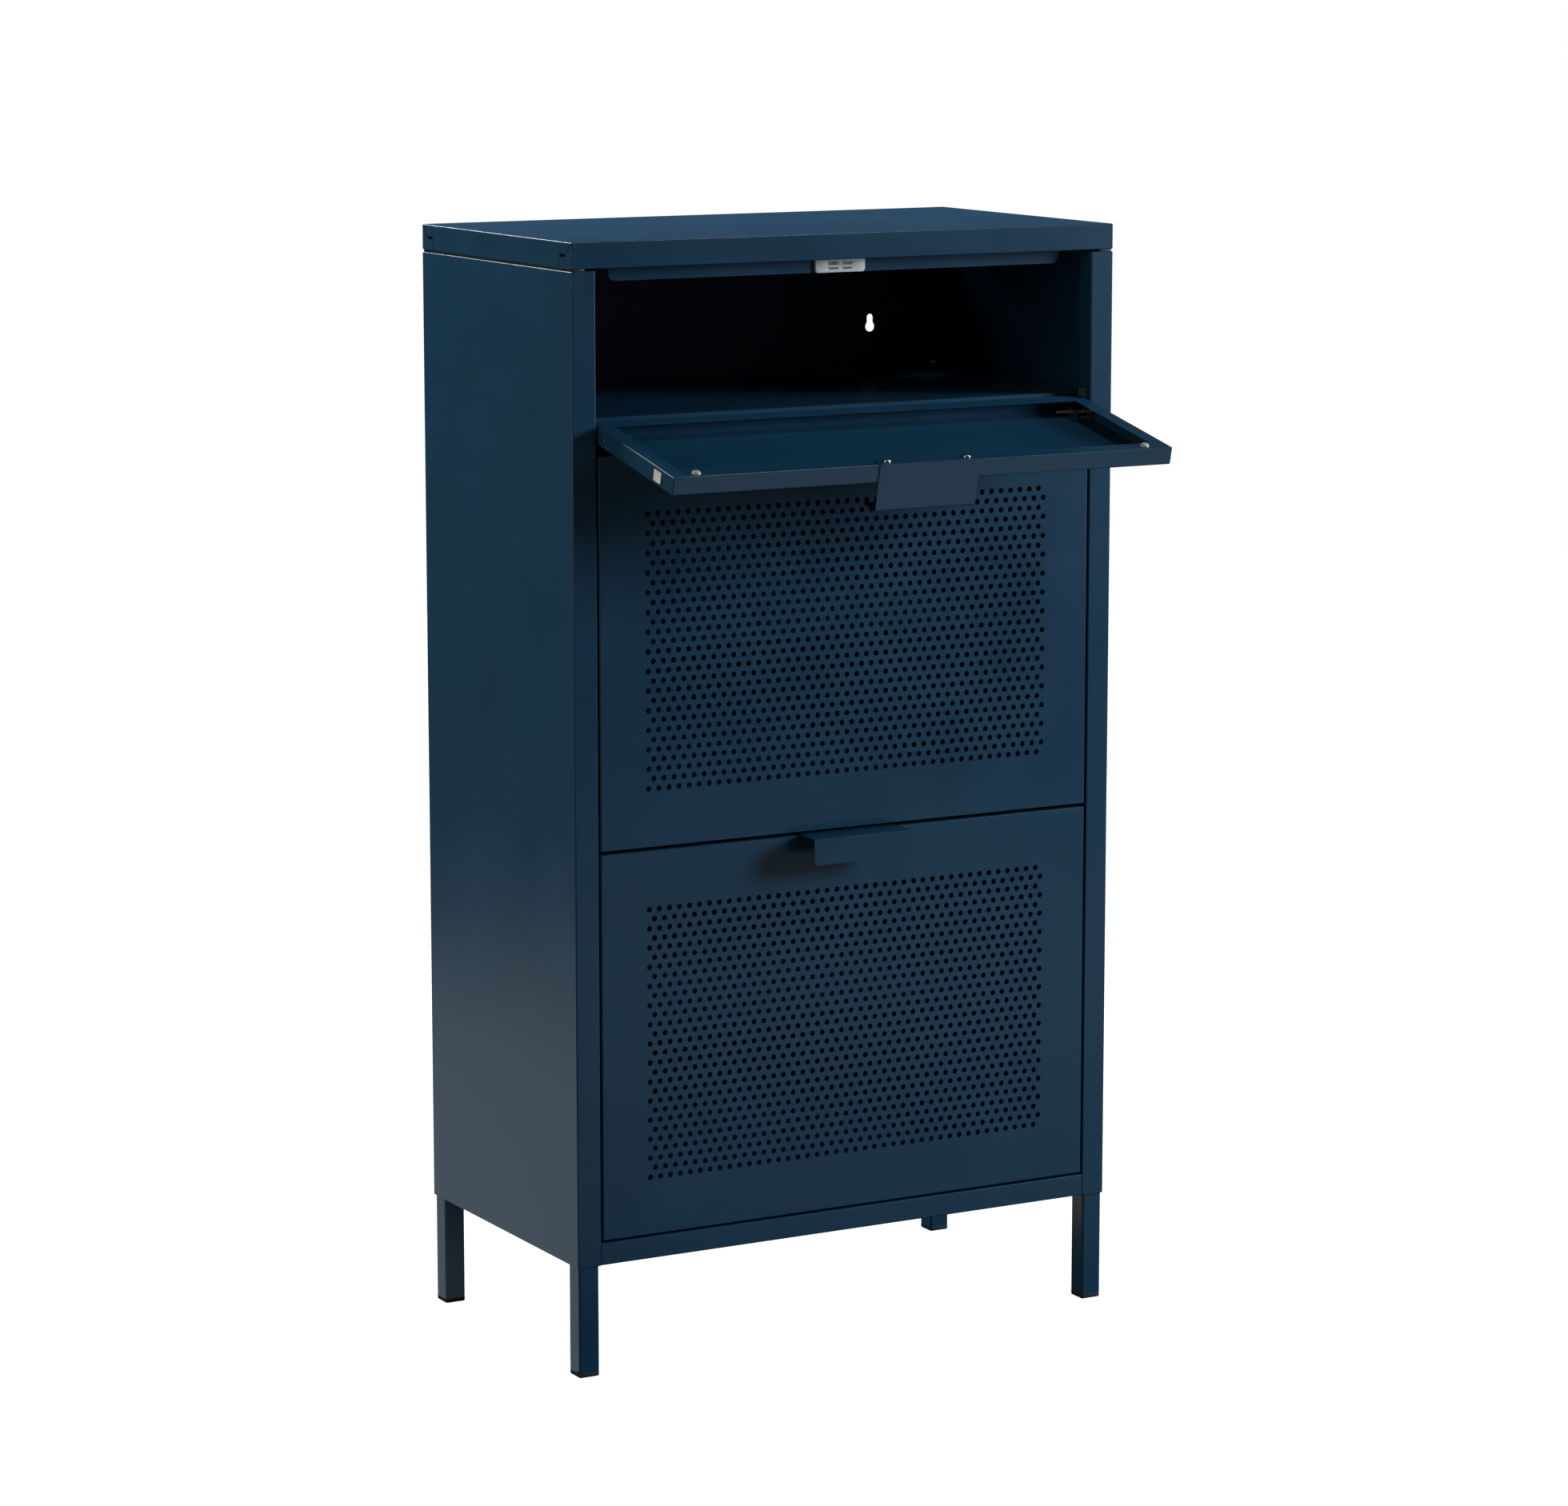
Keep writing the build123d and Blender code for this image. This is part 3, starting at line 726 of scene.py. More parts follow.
def dress_node(node: str, material: Material) -> None:
    """Give a CAD node its material, and leave its mesh alone.

    Args:
        node: the CAD node's name.
        material: the finish.
    """
    piece = frame["nodes"][node]
    for slot in piece.material_slots:
        slot.material = material
    LOG.info("dressed %s in %s", node, material.name)


def settle(
    piece: Piece,
    material: Material,
    body: str,
    stands_for: Sequence[str] = (),
) -> Piece:
    """Dress a finished piece and tie it to the frame.

    Args:
        piece: the piece, with its place in its mesh.
        material: its finish.
        body: the CAD body that it moves with.
        stands_for: CAD nodes that it is shown instead of.

    Returns:
        The same piece.
    """
    piece.data.materials.clear()
    piece.data.materials.append(material)
    smooth(piece)
    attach(piece, body)
    if stands_for:
        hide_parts(*stands_for)
    LOG.info("built %s: %d faces, rides on %s", piece.name, len(piece.data.polygons), body)
    return piece


# ---- fasteners ----
@dataclass
class CrossScrew:
    """A pan-head machine screw with a cross recess, along +Z from its seat, in metres."""

    head_radius: float = 3.5 * MM
    head_height: float = 2.2 * MM
    shank_radius: float = 1.75 * MM
    shank_length: float = 8.0 * MM
    thread_pitch: float = 0.7 * MM
    thread_depth: float = 0.28 * MM
    recess_width: float = 1.0 * MM
    recess_length: float = 3.6 * MM
    recess_depth: float = 1.2 * MM
    recess_taper: float = 0.6
    point_taper: float = 0.7

    def head_profile(self) -> List[Pair]:
        """Rings of the head, from its bearing face to the crown."""
        shares = ((0.0, 0.94), (0.12, 1.0), (0.45, 1.0), (0.72, 0.93), (0.9, 0.76), (1.0, 0.42))
        return rings_of(shares, self.head_height, self.head_radius)

    def shank_profile(self) -> List[Pair]:
        """Rings of the threaded shank, from its point up into the head."""
        rings = [(-self.shank_length, self.shank_radius * self.point_taper)]
        height = self.thread_pitch - self.shank_length
        root = self.shank_radius - self.thread_depth
        while height < -self.thread_pitch:
            rings.append((height, root))
            rings.append((height + self.thread_pitch / 2, self.shank_radius))
            height += self.thread_pitch
        rings.append((0.0, root))
        return rings

    def build(self, name: str) -> Piece:
        """Model the screw.

        Args:
            name: the screw's name.

        Returns:
            The screw, undressed, at the origin.
        """
        head = turned(name, self.head_profile(), sides=28)
        for wide, long in ((self.recess_width, self.recess_length), (self.recess_length, self.recess_width)):
            foot = Vector((-wide / 2, -long / 2, self.head_height - self.recess_depth))
            crown = Vector((wide / 2, long / 2, 2 * self.head_height))
            cutter = blank("recess", Span(foot, crown))
            self.taper(cutter)
            cut(head, cutter)
        shank = turned("shank", self.shank_profile(), sides=16)
        return merge(name, [head, shank])

    def taper(self, cutter: Piece) -> None:
        """Draw the recess in towards its bottom, as the driver's point is.

        Args:
            cutter: the recess's cutter.
        """
        with editing(cutter):
            pick_facing(cutter, 2, -1)
            floor = (0, 0, self.head_height - self.recess_depth)
            share = self.recess_taper
            bpy.ops.transform.resize(value=(share, share, 1), center_override=floor)


def screw_set(
    name: str, screw: CrossScrew, places: Sequence[Matrix], body: str, stands_for: str, finishes: Finishes
) -> None:
    """Model one screw, copy it to each place and join the copies into one piece.

    Args:
        name: the piece's name.
        screw: the screw's sizes.
        places: where each screw stands.
        body: the CAD body that the set rides on.
        stands_for: the CAD node that it is shown instead of.
        finishes: the materials.
    """
    master = screw.build("screw_master")
    copies = [copy_of(master, f"screw_{number}", place) for number, place in enumerate(places)]
    bpy.data.objects.remove(master)
    settle(merge(name, copies), finishes.zinc, body, [stands_for])


@dataclass
class Fasteners:
    """Rear and leg screws, and the shoulder rivets under the top."""

    finishes: Finishes
    screw: CrossScrew

    def islands(self, node: str) -> List[Span]:
        """Boxes of the separate solids of a CAD node.

        Args:
            node: the CAD node's name.

        Returns:
            One box for each solid.
        """
        mesh = bmesh.new()
        mesh.from_mesh(frame["nodes"][node].data)
        bmesh.ops.remove_doubles(mesh, verts=mesh.verts, dist=0.01 * MM)
        spans, left = [], set(mesh.verts)
        while left:
            group, edge = [], [left.pop()]
            while edge:
                vertex = edge.pop()
                group.append(vertex.co.copy())
                near = [link.other_vert(vertex) for link in vertex.link_edges]
                fresh = [other for other in near if other in left]
                left.difference_update(fresh)
                edge.extend(fresh)
            spans.append(Span.around(group))
        mesh.free()
        return sorted(spans, key=lambda span: tuple(round(value, 5) for value in span.middle))

    def build(self) -> None:
        """Model and place the screws, and dress the rivets."""
        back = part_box("back_panel")[1].y
        rear = [
            aim(Vector((0, 1, 0)), Vector((span.middle.x, back, span.middle.z)))
            for span in self.islands("back_screws")
        ]
        screw_set("back_screw_heads", self.screw, rear, "cabinet", "back_screws", self.finishes)
        places = []
        for span in self.islands("leg_screws"):
            outward = -1.0 if span.middle.x > 0 else 1.0
            reach = span.low.x if outward < 0 else span.high.x
            seat = reach - outward * self.screw.head_height
            places.append(aim(Vector((outward, 0, 0)), Vector((seat, span.middle.y, span.middle.z))))
        screw_set("leg_screw_heads", self.screw, places, "cabinet", "leg_screws", self.finishes)
        dress_node("top_rivets", self.finishes.zinc)


# ---- standing cabinet ----
@dataclass
class Carcass:
    """The folded sheets that stand still, dressed where they are."""

    finishes: Finishes
    sheets: Tuple[str, ...] = (
        "top_panel", "top_stop_rail", "back_panel", "bottom_panel", "shelf", "upper_channel",
        "lower_channel", "side_panel_left", "side_panel_right",
        "leg_front_left", "leg_front_right", "leg_rear_left", "leg_rear_right",
    )

    def dress(self) -> None:
        """Coat every sheet and tube."""
        for sheet in self.sheets:
            dress_node(sheet, self.finishes.coat)


@dataclass
class RevealShadeStrip:
    """Black strip between a side panel and the top, which shuts the reveal to light. It is painted shade: a
    dark sheet put in the reveal where the real cabinet has only shade.
    """

    finishes: Finishes
    place: str
    inset: float = 1.3 * MM
    end_inset: float = 0.5 * MM
    wide: float = 12.0 * MM
    play: float = 0.05 * MM
    edge: float = 0.2 * MM

    def build(self) -> None:
        """Cut one strip to the side's depth and round its edges."""
        panel = span_of(f"side_panel_{self.place}")
        lid = span_of("top_panel")
        sign = SIDES[self.place]
        face = sign * (lid.high.x - self.inset)
        outer = Vector((face, lid.low.y + self.inset, panel.high.z + self.play))
        inner = Vector((face - sign * self.wide, lid.high.y - self.end_inset, lid.low.z - self.play))
        # a black strip in the reveal that stands in for the shade there: painted shade
        shade_strip = blank(f"reveal_tape_{self.place}", Span.around([outer, inner]))
        soften(shade_strip, self.edge)
        settle(shade_strip, self.finishes.black, "cabinet")


@dataclass
class RailTab:
    """Coated tab at an end of the front rail, which laps the joint with the stile from behind."""

    finishes: Finishes
    place: str
    sheet: float = 0.8 * MM
    wide: float = 5.0 * MM
    end_gap: float = 1.0 * MM
    play: float = 0.05 * MM
    side_gap: float = 2.0 * MM
    edge: float = 0.15 * MM

    def build(self) -> None:
        """Cut the tab to the rail's height behind the rail's end."""
        rail = span_of("bottom_panel")
        door = span_of("lower_door_pan")
        sign = SIDES[self.place]
        stile = sign * (door.high.x + self.side_gap)
        rail_back = rail.low.y + self.sheet + self.play
        outer = Vector((stile - sign * self.play, rail_back, rail.low.z + self.end_gap))
        inner = Vector((stile - sign * self.wide, rail_back + self.sheet, rail.high.z - self.end_gap))
        tab = blank(f"rail_tab_{self.place}", Span.around([outer, inner]))
        soften(tab, self.edge)
        settle(tab, self.finishes.coat, "cabinet")


@dataclass
class Foot:
    """Plastic foot of one leg: a plate with a rounded sole and a plug that grips the tube."""

    finishes: Finishes
    place: str
    sole_inset: float = 0.9 * MM
    sole_height: float = 1.0 * MM
    corner: float = 1.8 * MM
    wall: float = 1.5 * MM
    plug_gap: float = 0.25 * MM
    plate_height: float = 4.0 * MM
    edge: float = 0.3 * MM

    def build(self) -> None:
        """Extrude the plate and its plug from one blank, and draw the sole in."""
        node = f"leg_cap_{self.place}"
        span = span_of(node)
        plate = Span(span.low, Vector((span.high.x, span.high.y, self.plate_height)))
        foot = blank(f"foot_{self.place}", plate)
        with editing(foot):
            pick(foot, "EDGE", lambda edge: runs_along(edge, 2))
            bpy.ops.mesh.bevel(offset=self.corner, segments=4)
            pick_facing(foot, 2, 1)
            bpy.ops.mesh.inset(thickness=self.wall + self.plug_gap)
            rise = (0, 0, span.high.z - self.plate_height)
            bpy.ops.mesh.extrude_region_move(TRANSFORM_OT_translate={"value": rise})
            pick_facing(foot, 2, -1)
            bpy.ops.mesh.inset(thickness=self.sole_inset)
            self.round_sole(foot)
        soften(foot, self.edge)
        settle(foot, self.finishes.black, "cabinet", [node])

    def round_sole(self, foot: Piece) -> None:
        """Lift the rim round the sole, so that only the sole stands on the floor.

        Args:
            foot: the foot, in edit mode.
        """
        mesh = bmesh.from_edit_mesh(foot.data)
        sole = [face for face in mesh.faces if face.select]
        held = {vertex for face in sole for vertex in face.verts}
        for vertex in mesh.verts:
            if vertex.co.z < 0.1 * MM and vertex not in held:
                vertex.co.z += self.sole_height
        bmesh.update_edit_mesh(foot.data)


@dataclass
class Catch:
    """Double magnetic catch: a moulded face with two tall and two low windows over its steel poles."""

    finishes: Finishes
    place: str
    corner: float = 2.5 * MM
    face: float = 2.4 * MM
    window_corner: float = 1.4 * MM
    body_width: float = 42.0 * MM
    body_inset: float = 1.5 * MM
    window_depth: float = 6.0 * MM
    pole_width: float = 10.0 * MM
    pole_offset: float = 7.0 * MM
    tall: Pair = (6.4 * MM, 9.6 * MM)
    low: Pair = (2.6 * MM, 4.4 * MM)
    edge: float = 0.22 * MM

    def build(self) -> None:
        """Shape the plate, add the body behind it and cut the windows."""
        node = f"catch_body_{self.place}"
        span = span_of(node)
        plate_back = span.low.y + self.face
        plate_span = Span(span.low, Vector((span.high.x, plate_back, span.high.z)))
        plate = blank(f"catch_housing_{self.place}", plate_span)
        with editing(plate):
            low_corner = span.low.z + 0.1 * MM
            pick(plate, "EDGE", lambda edge: runs_along(edge, 1)
                 and all(vertex.co.z < low_corner for vertex in edge.verts))
            bpy.ops.mesh.bevel(offset=self.corner, segments=6)
            pick_facing(plate, 1, 1)
            bpy.ops.mesh.inset(thickness=self.body_inset)
            squeeze = self.body_width / (span.size.x - 2 * self.body_inset)
            bpy.ops.transform.resize(value=(squeeze, 1, 1), center_override=tuple(span.middle))
            rear = (0, span.high.y - plate_back, 0)
            bpy.ops.mesh.extrude_region_move(TRANSFORM_OT_translate={"value": rear})
        for side in SIDES.values():
            for rise in (self.tall, self.low):
                cut(plate, self.window(span, side, rise))
        soften(plate, self.edge)
        settle(plate, self.finishes.white, "cabinet", [node])
        dress_node(f"catch_poles_{self.place}", self.finishes.zinc)

    def window(self, span: Span, side: float, rise: Pair) -> Piece:
        """Cutter for one window, with rounded ends.

        Args:
            span: the housing's box.
            side: -1 for the left pole, 1 for the right one.
            rise: heights of its lower and upper edge above the housing's lower edge.

        Returns:
            The cutter.
        """
        middle = side * self.pole_offset
        low = Vector((middle - self.pole_width / 2, span.low.y - self.face, span.low.z + rise[0]))
        high = Vector((middle + self.pole_width / 2, span.low.y + self.window_depth, span.low.z + rise[1]))
        cutter = blank("window", Span(low, high))
        with editing(cutter):
            pick(cutter, "EDGE", lambda edge: runs_along(edge, 1))
            # a little less than half the window's height, so that two roundings never meet
            limit = 0.48 * (rise[1] - rise[0])
            bpy.ops.mesh.bevel(offset=min(self.window_corner, limit), segments=4)
        return cutter


@dataclass
class ShelfClip:
    """Moulded clip on the stile's return, over the shelf's front corner."""

    finishes: Finishes
    place: str
    rib: float = 1.6 * MM
    groove: float = 0.35 * MM
    edge: float = 0.25 * MM

    def build(self) -> None:
        """Bevel a blank and press a groove into its face."""
        node = f"shelf_clip_{self.place}"
        span = span_of(node)
        inward = -SIDES[self.place]
        clip = blank(f"shelf_clip_moulding_{self.place}", span)
        press(clip, inward, self.rib, self.groove)
        soften(clip, self.edge)
        # the clip is dressed in the dim grey of the stile's shade rather than its own pale tone: painted
        # shade
        settle(clip, self.finishes.clip_shade_grey, "cabinet", [node])


# ---- flap ----
@dataclass
class Flap:
    """The drop-down flap: folded pan and pull, screws, bumpers and guide pads."""

    finishes: Finishes
    screw: CrossScrew
    open_turn: Matrix
    bumper_shares: Tuple[Pair, ...] = (
        (0.0, 1.0), (0.22, 1.0), (0.45, 0.95), (0.68, 0.82), (0.85, 0.62), (0.96, 0.36), (1.0, 0.12),
    )
    pad_frame: float = 1.3 * MM
    pad_recess: float = 0.25 * MM
    pad_edge: float = 0.2 * MM

    def build(self) -> None:
        """Dress the sheets and model the small parts."""
        for node in ("flap_pan", "flap_handle"):
            dress_node(node, self.finishes.coat)
        shut = self.open_turn.inverted()
        pair = span_of("flap_handle_screws", shut)
        places = [self.open_turn @ place for place in pull_screw_places(pair, self.screw)]
        screw_set("flap_pull_screws", self.screw, places, "flap", "flap_handle_screws", self.finishes)
        for place in SIDES:
            self.bumper(place, span_of(f"flap_bumper_{place}", shut))
            self.pad(place, span_of(f"flap_pad_{place}", shut))

    def bumper(self, place: str, span: Span) -> None:
        """Clear dome that meets the stop rail.

        Args:
            place: left or right.
            span: its box with the flap shut.
        """
        profile = rings_of(self.bumper_shares, span.size.y, span.size.x / 2)
        dome = turned(f"bumper_dome_{place}", profile)
        seat = Vector((span.middle.x, span.low.y, span.middle.z))
        dome.data.transform(self.open_turn @ aim(Vector((0, 1, 0)), seat))
        settle(dome, self.finishes.rubber, "flap", [f"flap_bumper_{place}"])

    def pad(self, place: str, span: Span) -> None:
        """White pad on the flap's end, with a raised frame.

        Args:
            place: left or right.
            span: its box with the flap shut.
        """
        pad = blank(f"guide_pad_{place}", span)
        press(pad, SIDES[place], self.pad_frame, self.pad_recess)
        soften(pad, self.pad_edge)
        pad.data.transform(self.open_turn)
        settle(pad, self.finishes.white, "flap", [f"flap_pad_{place}"])


def pull_screw_places(pair: Span, screw: CrossScrew) -> List[Matrix]:
    """Where the two screws of a pull stand, heads to the back.

    Args:
        pair: box of both screws, with the door or flap shut.
        screw: the screw's sizes.

    Returns:
        A placing matrix for each screw.
    """
    offset = pair.size.x / 2 - screw.head_radius
    seat = pair.high.y - screw.head_height
    return [
        aim(Vector((0, 1, 0)), Vector((pair.middle.x + side * offset, seat, pair.middle.z)))
        for side in SIDES.values()
    ]


@dataclass
class FlapHinge:
    """One sprung pivot bolt of the flap, in its bracket.

    flap_end is the distance of the flap's end from the middle, in metres.
    """

    finishes: Finishes
    place: str
    open_turn: Matrix
    flap_end: float
    rod_radius: float = 2.0 * MM
    sleeve_length: float = 9.6 * MM
    sleeve_start: float = 10.4 * MM
    sleeve_radius: float = 3.2 * MM
    groove: float = 0.5 * MM
    chamfer: float = 0.5 * MM
    wire: float = 0.9 * MM
    coils: int = 7
    rivet_radius: float = 2.6 * MM
    rivet_height: float = 0.75 * MM

    def build(self) -> None:
        """Model bolt, spring and rivet, and dress the bracket."""
        pivot = joint_line("flap_hinge")
        self.bolt(pivot)
        self.spring(pivot)
        self.rivet()
        dress_node(f"flap_bracket_{self.place}", self.finishes.zinc)

    def bolt(self, pivot: Vector) -> None:
        """Turned rod with a grooved chrome sleeve.

        Args:
            pivot: a point on the hinge line.
        """
        side = SIDES[self.place]
        node = f"flap_pin_{self.place}"
        span = span_of(node)
        near, far = sorted((abs(span.low.x), abs(span.high.x)))
        start = self.flap_end - self.sleeve_start - near
        end = start + self.sleeve_length
        rod, sleeve, cut_in = self.rod_radius, self.sleeve_radius, self.chamfer
        profile = [
            (0.0, rod - cut_in),
            (cut_in, rod),
            (start, rod),
            (start, sleeve - cut_in),
            (start + cut_in, sleeve),
            ((start + end) / 2 - cut_in, sleeve),
            ((start + end) / 2, sleeve - self.groove),
            ((start + end) / 2 + cut_in, sleeve),
            (end - cut_in, sleeve),
            (end, sleeve - cut_in),
            (end, rod),
            (far - near - cut_in, rod),
            (far - near, rod - cut_in),
        ]
        bolt = turned(f"pivot_bolt_{self.place}", profile)
        bolt.data.transform(aim(Vector((side, 0, 0)), Vector((side * near, pivot.y, pivot.z))))
        settle(bolt, self.finishes.chrome, "flap", [node])

    def spring(self, pivot: Vector) -> None:
        """Coil spring, swept from a circle of wire.

        Args:
            pivot: a point on the hinge line.
        """
        node = f"flap_spring_{self.place}"
        span = span_of(node)
        radius = span.size.z / 2 - self.wire / 2
        length = span.size.x - self.wire
        bpy.ops.object.select_all(action="DESELECT")
        bpy.ops.mesh.primitive_circle_add(
            vertices=8, radius=self.wire / 2, fill_type="NGON", location=(radius, 0, 0),
            rotation=(math.pi / 2, 0, 0),
        )
        coil = bpy.context.active_object
        coil.name = coil.data.name = f"coil_spring_{self.place}"
        bpy.ops.object.transform_apply(location=True, rotation=True, scale=True)
        with editing(coil):
            bpy.ops.mesh.select_all(action="SELECT")
            bpy.ops.mesh.delete(type="ONLY_FACE")
        apply_modifier(coil, "SCREW", axis="Z", angle=math.tau, iterations=self.coils, steps=20,
                       render_steps=20, screw_offset=length / self.coils)
        with editing(coil):
            pick(coil, "EDGE", lambda edge: edge.is_boundary)
            bpy.ops.mesh.edge_face_add()
            bpy.ops.mesh.select_all(action="SELECT")
            bpy.ops.mesh.remove_doubles(threshold=0.001 * MM)
            face_outwards()
        start = Vector((span.low.x + self.wire / 2, pivot.y, pivot.z))
        coil.data.transform(aim(Vector((1, 0, 0)), start))
        settle(coil, self.finishes.spring, "flap", [node])

    def rivet(self) -> None:
        """Domed rivet head on the flap's end, over the bracket's rivet."""
        side = SIDES[self.place]
        shut = self.open_turn.inverted()
        tip = [
            shut @ vertex.co
            for vertex in frame["nodes"][f"flap_bracket_{self.place}"].data.vertices
            if abs(vertex.co.x) > self.flap_end + 0.1 * MM
        ]
        middle = sum(tip, Vector()) / len(tip)
        shares = ((0.0, 1.0), (0.35, 0.97), (0.65, 0.82), (0.88, 0.55), (1.0, 0.2))
        profile = rings_of(shares, self.rivet_height, self.rivet_radius)
        head = turned(f"bracket_rivet_{self.place}", profile, sides=24)
        seat = Vector((side * self.flap_end, middle.y, middle.z))
        head.data.transform(self.open_turn @ aim(Vector((side, 0, 0)), seat))
        settle(head, self.finishes.chrome, "flap")


# ---- tilt-out doors ----
@dataclass
class TiltDoor:
    """One perforated door with its pull, pins and rack.

    end is the distance of the inner face of the door's end from the middle, in metres.
    """

    finishes: Finishes
    screw: CrossScrew
    name: str
    end: float
    pin_radius: float = 2.0 * MM
    collar_radius: float = 3.5 * MM
    collar_length: float = 2.0 * MM
    chamfer: float = 0.4 * MM

    def build(self) -> None:
        """Dress the sheets, and model the screws and pins."""
        body = f"{self.name}_door"
        sheets = [f"{body}_pan", f"{body}_handle"]
        sheets += [f"{self.name}_rack_tray_{tier}" for tier in ("low", "high")]
        sheets += [f"{self.name}_rack_cheek_{place}" for place in SIDES]
        for node in sheets:
            dress_node(node, self.finishes.coat)
        screws = f"{body}_handle_screws"
        places = pull_screw_places(span_of(screws), self.screw)
        screw_set(f"{body}_pull_screws", self.screw, places, body, screws, self.finishes)
        for place in SIDES:
            self.pin(place)

    def pin(self, place: str) -> None:
        """Turned pivot pin with a collar against the door's end.

        Args:
            place: left or right.
        """
        side = SIDES[place]
        node = f"{self.name}_door_pin_{place}"
        span = span_of(node)
        near, far = sorted((abs(span.low.x), abs(span.high.x)))
        seat = self.end - near
        rod, collar, cut_in = self.pin_radius, self.collar_radius, self.chamfer
        profile = [
            (0.0, rod - cut_in),
            (cut_in, rod),
            (seat - self.collar_length, rod),
            (seat - self.collar_length, collar - cut_in),
            (seat - self.collar_length + cut_in, collar),
            (seat - cut_in, collar),
            (seat, collar - cut_in),
            (seat, rod),
            (far - near - cut_in, rod),
            (far - near, rod - cut_in),
        ]
        pin = turned(f"{self.name}_pivot_pin_{place}", profile, sides=24)
        pin.data.transform(aim(Vector((side, 0, 0)), Vector((side * near, span.middle.y, span.middle.z))))
        settle(pin, self.finishes.zinc, f"{self.name}_door", [node])


# ---- studio ----
class Lamp(Enum):
    """How a lamp reaches the object."""

    SOFTBOX = "lights it and is mirrored in it"
    FILL = "only lights it"
    CARD = "is only mirrored in it, as a pale board on the floor is"


@dataclass(frozen=True)
class Softbox:
    """One rectangular lamp: where it stands, where it points, its size and its power."""

    name: str
    place: Tuple[float, float, float]
    target: Tuple[float, float, float]
    size: Pair
    watts: float
    tint: str = WHITE
    kind: Lamp = Lamp.SOFTBOX

    def build(self) -> None:
        """Add the lamp: a card is round and only mirrored, and a fill is never mirrored."""
        data = bpy.data.lights.new(self.name, "AREA")
        data.shape = "ELLIPSE" if self.kind is Lamp.CARD else "RECTANGLE"
        data.size, data.size_y = self.size
        data.energy = self.watts
        data.color = srgb(self.tint)[:3]
        lamp = bpy.data.objects.new(self.name, data)
        bpy.context.scene.collection.objects.link(lamp)
        lamp.location = self.place
        aim_line = Vector(self.target) - Vector(self.place)
        lamp.rotation_euler = aim_line.to_track_quat("-Z", "Y").to_euler()
        lamp.visible_camera = False
        lamp.visible_diffuse = self.kind is not Lamp.CARD
        lamp.visible_glossy = self.kind is not Lamp.FILL


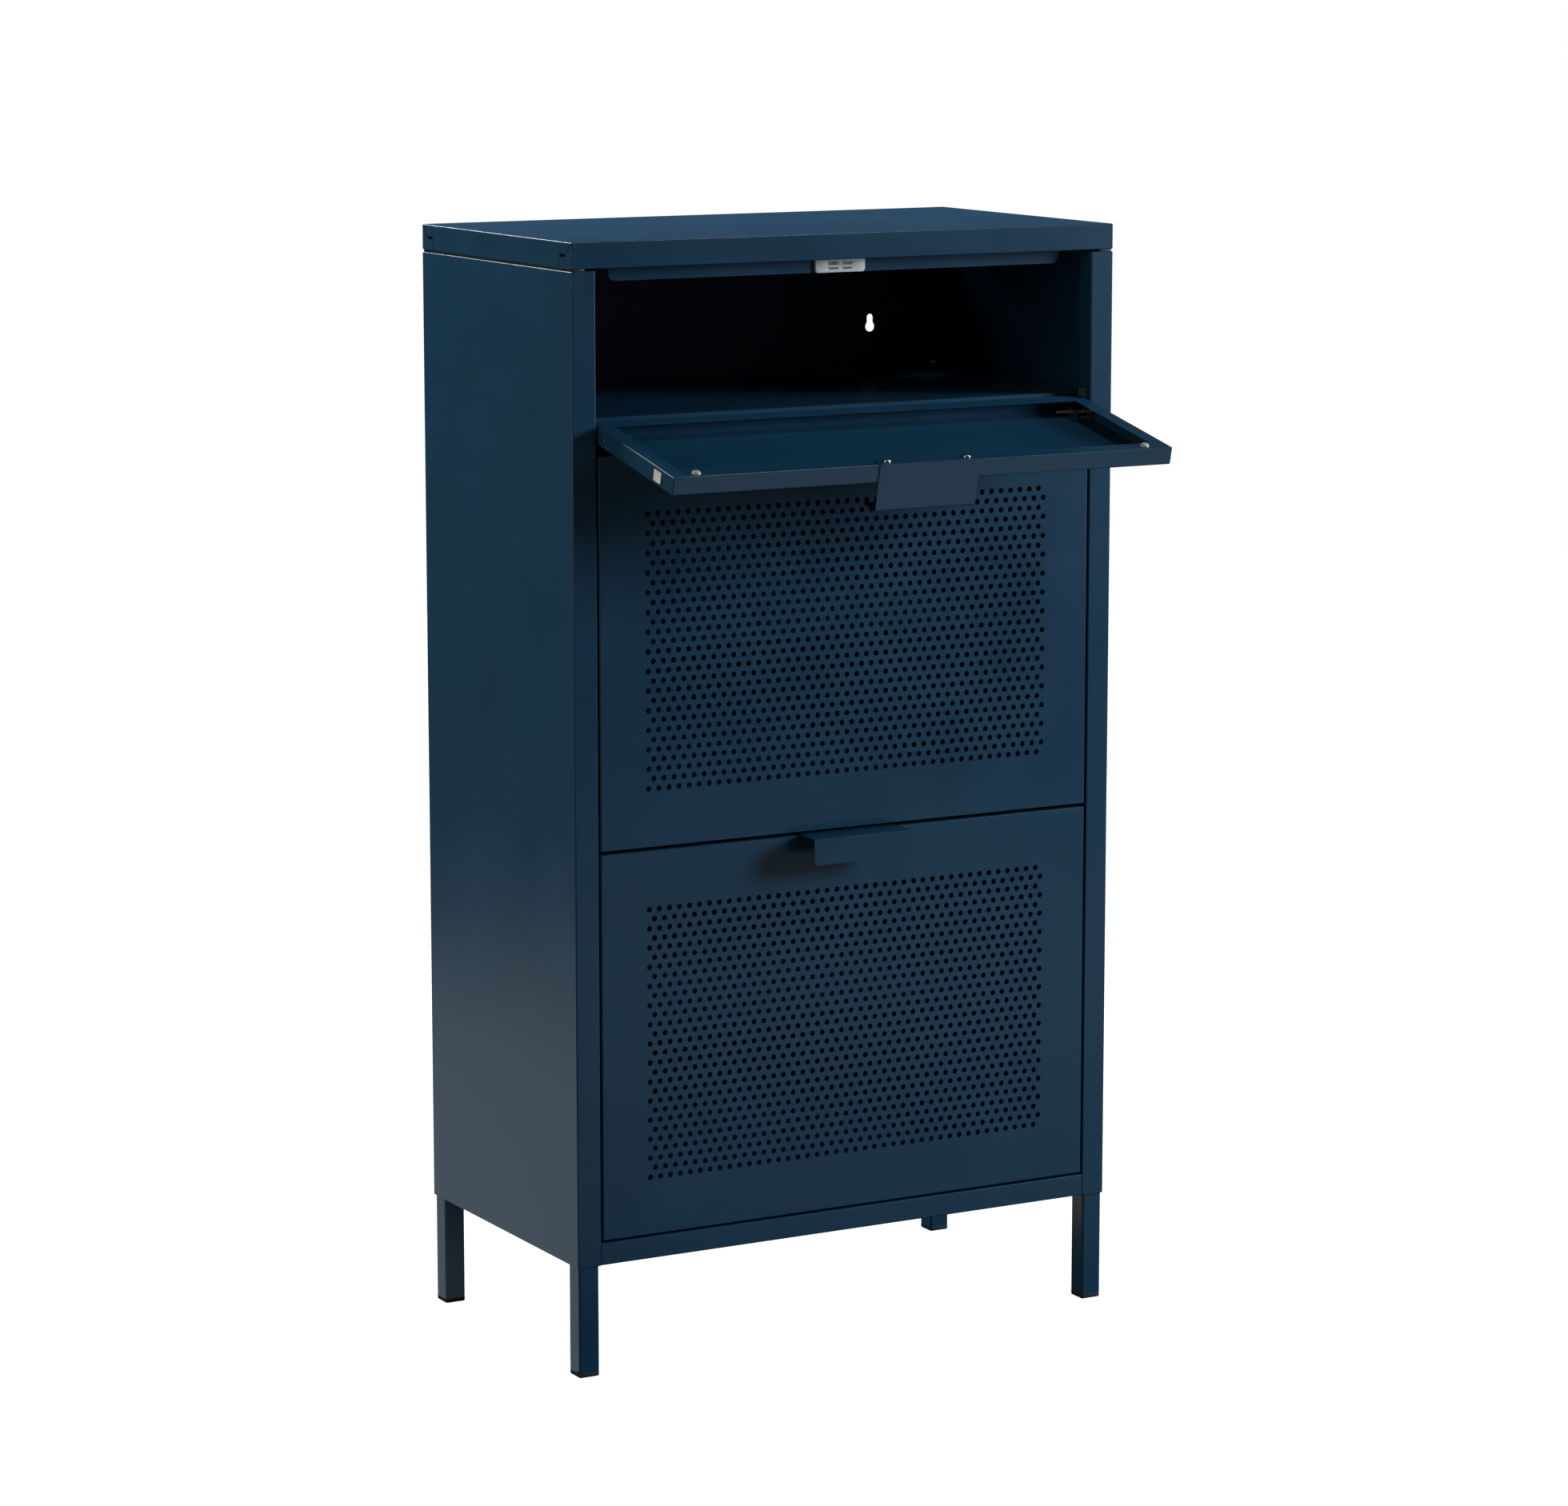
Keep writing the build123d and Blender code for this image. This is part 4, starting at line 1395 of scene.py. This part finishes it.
@dataclass
class Studio:
    """Pale floor, soft lamps and the camera. Lengths are in metres, angles in degrees."""

    lens: float = 113.667
    eye: Tuple[float, float, float] = (-2.17926, -3.94013, 1.28259)
    yaw: float = 29.132
    dip: float = 9.626
    sight: float = 100.0
    floor_size: float = 60.0
    floor_glow: float = 1.0
    floor_tones: Tuple[str, str] = ("#606162", "#666768")
    floor_drift: float = 0.5
    floor_roughness: float = 0.8
    ambient: float = 0.05
    lamps: Tuple[Softbox, ...] = (
        Softbox("top_fill", (-0.35, 2.6, 2.35), (0.0, 0.0, 1.0), (1.8, 0.9), 165.0, kind=Lamp.FILL),
        Softbox("edge_softbox", (-0.5, 2.5, 2.3), (0.0, 0.0, 1.0), (0.45, 0.35), 22.0),
        Softbox("left_edge_softbox", (-1.1, 1.7, 2.4), (-0.25, -0.2, 0.85), (0.4, 0.4), 22.0),
        Softbox("overhead_softbox", (0.9, -0.5, 2.7), (0.0, -0.2, 0.9), (0.3, 0.3), 9.0),
        Softbox("right_softbox", (2.75, -1.6, 1.4), (0.1, -0.15, 0.55), (0.8, 1.0), 95.0),
        Softbox("left_softbox", (-2.6, -0.35, 1.2), (-0.2, 0.0, 0.6), (1.6, 1.8), 22.0, "#FFF0D8"),
        Softbox("rear_fill", (1.7, 2.4, 0.42), (0.0, 0.0, 0.5), (1.4, 0.6), 14.0),
        Softbox("left_card", (-0.4, 0.8, 0.004), (-0.4, 0.8, 1.0), (1.6, 1.9), 4.2, kind=Lamp.CARD),
        Softbox("front_card", (0.6, -1.1, 0.004), (0.6, -1.1, 1.0), (2.4, 1.6), 2.6, kind=Lamp.CARD),
        Softbox("rim_card", (0.75, -1.5, 0.006), (0.75, -1.5, 1.0), (1.4, 0.7), 1.8, kind=Lamp.CARD),
    )

    def build(self) -> None:
        """Set up the whole studio."""
        bpy.context.scene.view_settings.view_transform = "Standard"
        self.camera()
        self.world()
        self.floor()
        for lamp in self.lamps:
            lamp.build()

    def camera(self) -> None:
        """Camera a little left of the cabinet and a little above it."""
        data = bpy.data.cameras.new("studio_camera")
        data.lens = self.lens
        data.clip_end = self.sight
        camera = bpy.data.objects.new("studio_camera", data)
        bpy.context.scene.collection.objects.link(camera)
        yaw, dip = math.radians(self.yaw), math.radians(self.dip)
        view = Vector((math.sin(yaw) * math.cos(dip), math.cos(yaw) * math.cos(dip), -math.sin(dip)))
        camera.location = self.eye
        camera.rotation_euler = view.to_track_quat("-Z", "Y").to_euler()
        bpy.context.scene.camera = camera

    def world(self) -> None:
        """White backdrop that gives only a little light of its own."""
        world = bpy.data.worlds.new("white_backdrop")
        world.use_nodes = True
        tree = world.node_tree
        tree.nodes.clear()
        seen = add_node(tree, "ShaderNodeLightPath").outputs["Is Camera Ray"]
        strength = remap(tree, seen, (0.0, 1.0), (self.ambient, 1.0))
        glow = {"Color": srgb(WHITE), "Strength": strength}
        light = add_node(tree, "ShaderNodeBackground", inputs=glow).outputs["Background"]
        add_node(tree, "ShaderNodeOutputWorld", inputs={"Surface": light})
        bpy.context.scene.world = world

    def floor(self) -> None:
        """Wide pale floor, lit from within so that it stays even far from the lamps."""
        bpy.ops.object.select_all(action="DESELECT")
        bpy.ops.mesh.primitive_plane_add(size=self.floor_size)
        floor = bpy.context.active_object
        floor.name = "studio_floor"
        material = empty_material("pale_floor_painted")
        tree = material.node_tree
        place = add_node(tree, "ShaderNodeTexCoord").outputs["Object"]
        cloud = noise(tree, place, self.floor_drift)
        tones = {0: cloud, 6: srgb(self.floor_tones[0]), 7: srgb(self.floor_tones[1])}
        colour = add_node(tree, "ShaderNodeMix", {"data_type": "RGBA"}, tones).outputs[2]
        inputs = {"Base Color": colour, "Roughness": self.floor_roughness}
        inputs |= {"Emission Color": srgb(WHITE), "Emission Strength": self.floor_glow}
        shader = add_node(tree, "ShaderNodeBsdfPrincipled", inputs=inputs)
        add_node(tree, "ShaderNodeOutputMaterial", inputs={"Surface": shader.outputs["BSDF"]})
        floor.data.materials.append(material)
        floor.visible_glossy = floor.visible_diffuse = False


def main() -> None:
    """Build the cabinet's classes in order, then the studio."""
    logging.basicConfig(level=logging.INFO, format="%(name)s: %(message)s")
    finishes = Finishes.made()
    pull_screw = CrossScrew()
    flat_screw = CrossScrew(head_height=1.8 * MM, recess_depth=1.0 * MM)
    open_turn = swung("flap_hinge")
    flap_end = span_of("flap_pan").high.x
    sheet = span_of("back_panel").size.y

    Carcass(finishes).dress()
    Fasteners(finishes, flat_screw).build()
    for place in SIDES:
        RevealShadeStrip(finishes, place).build()
        RailTab(finishes, place).build()
    for place in ("front_left", "front_right", "rear_left", "rear_right"):
        Foot(finishes, place).build()
    for place in ("top", "upper", "lower"):
        Catch(finishes, place).build()
    for place in SIDES:
        ShelfClip(finishes, place).build()
    Flap(finishes, pull_screw, open_turn).build()
    for place in SIDES:
        FlapHinge(finishes, place, open_turn, flap_end).build()
    for name in ("lower", "upper"):
        TiltDoor(finishes, pull_screw, name, flap_end - sheet).build()
    Studio().build()


if __name__ == "__main__":
    main()
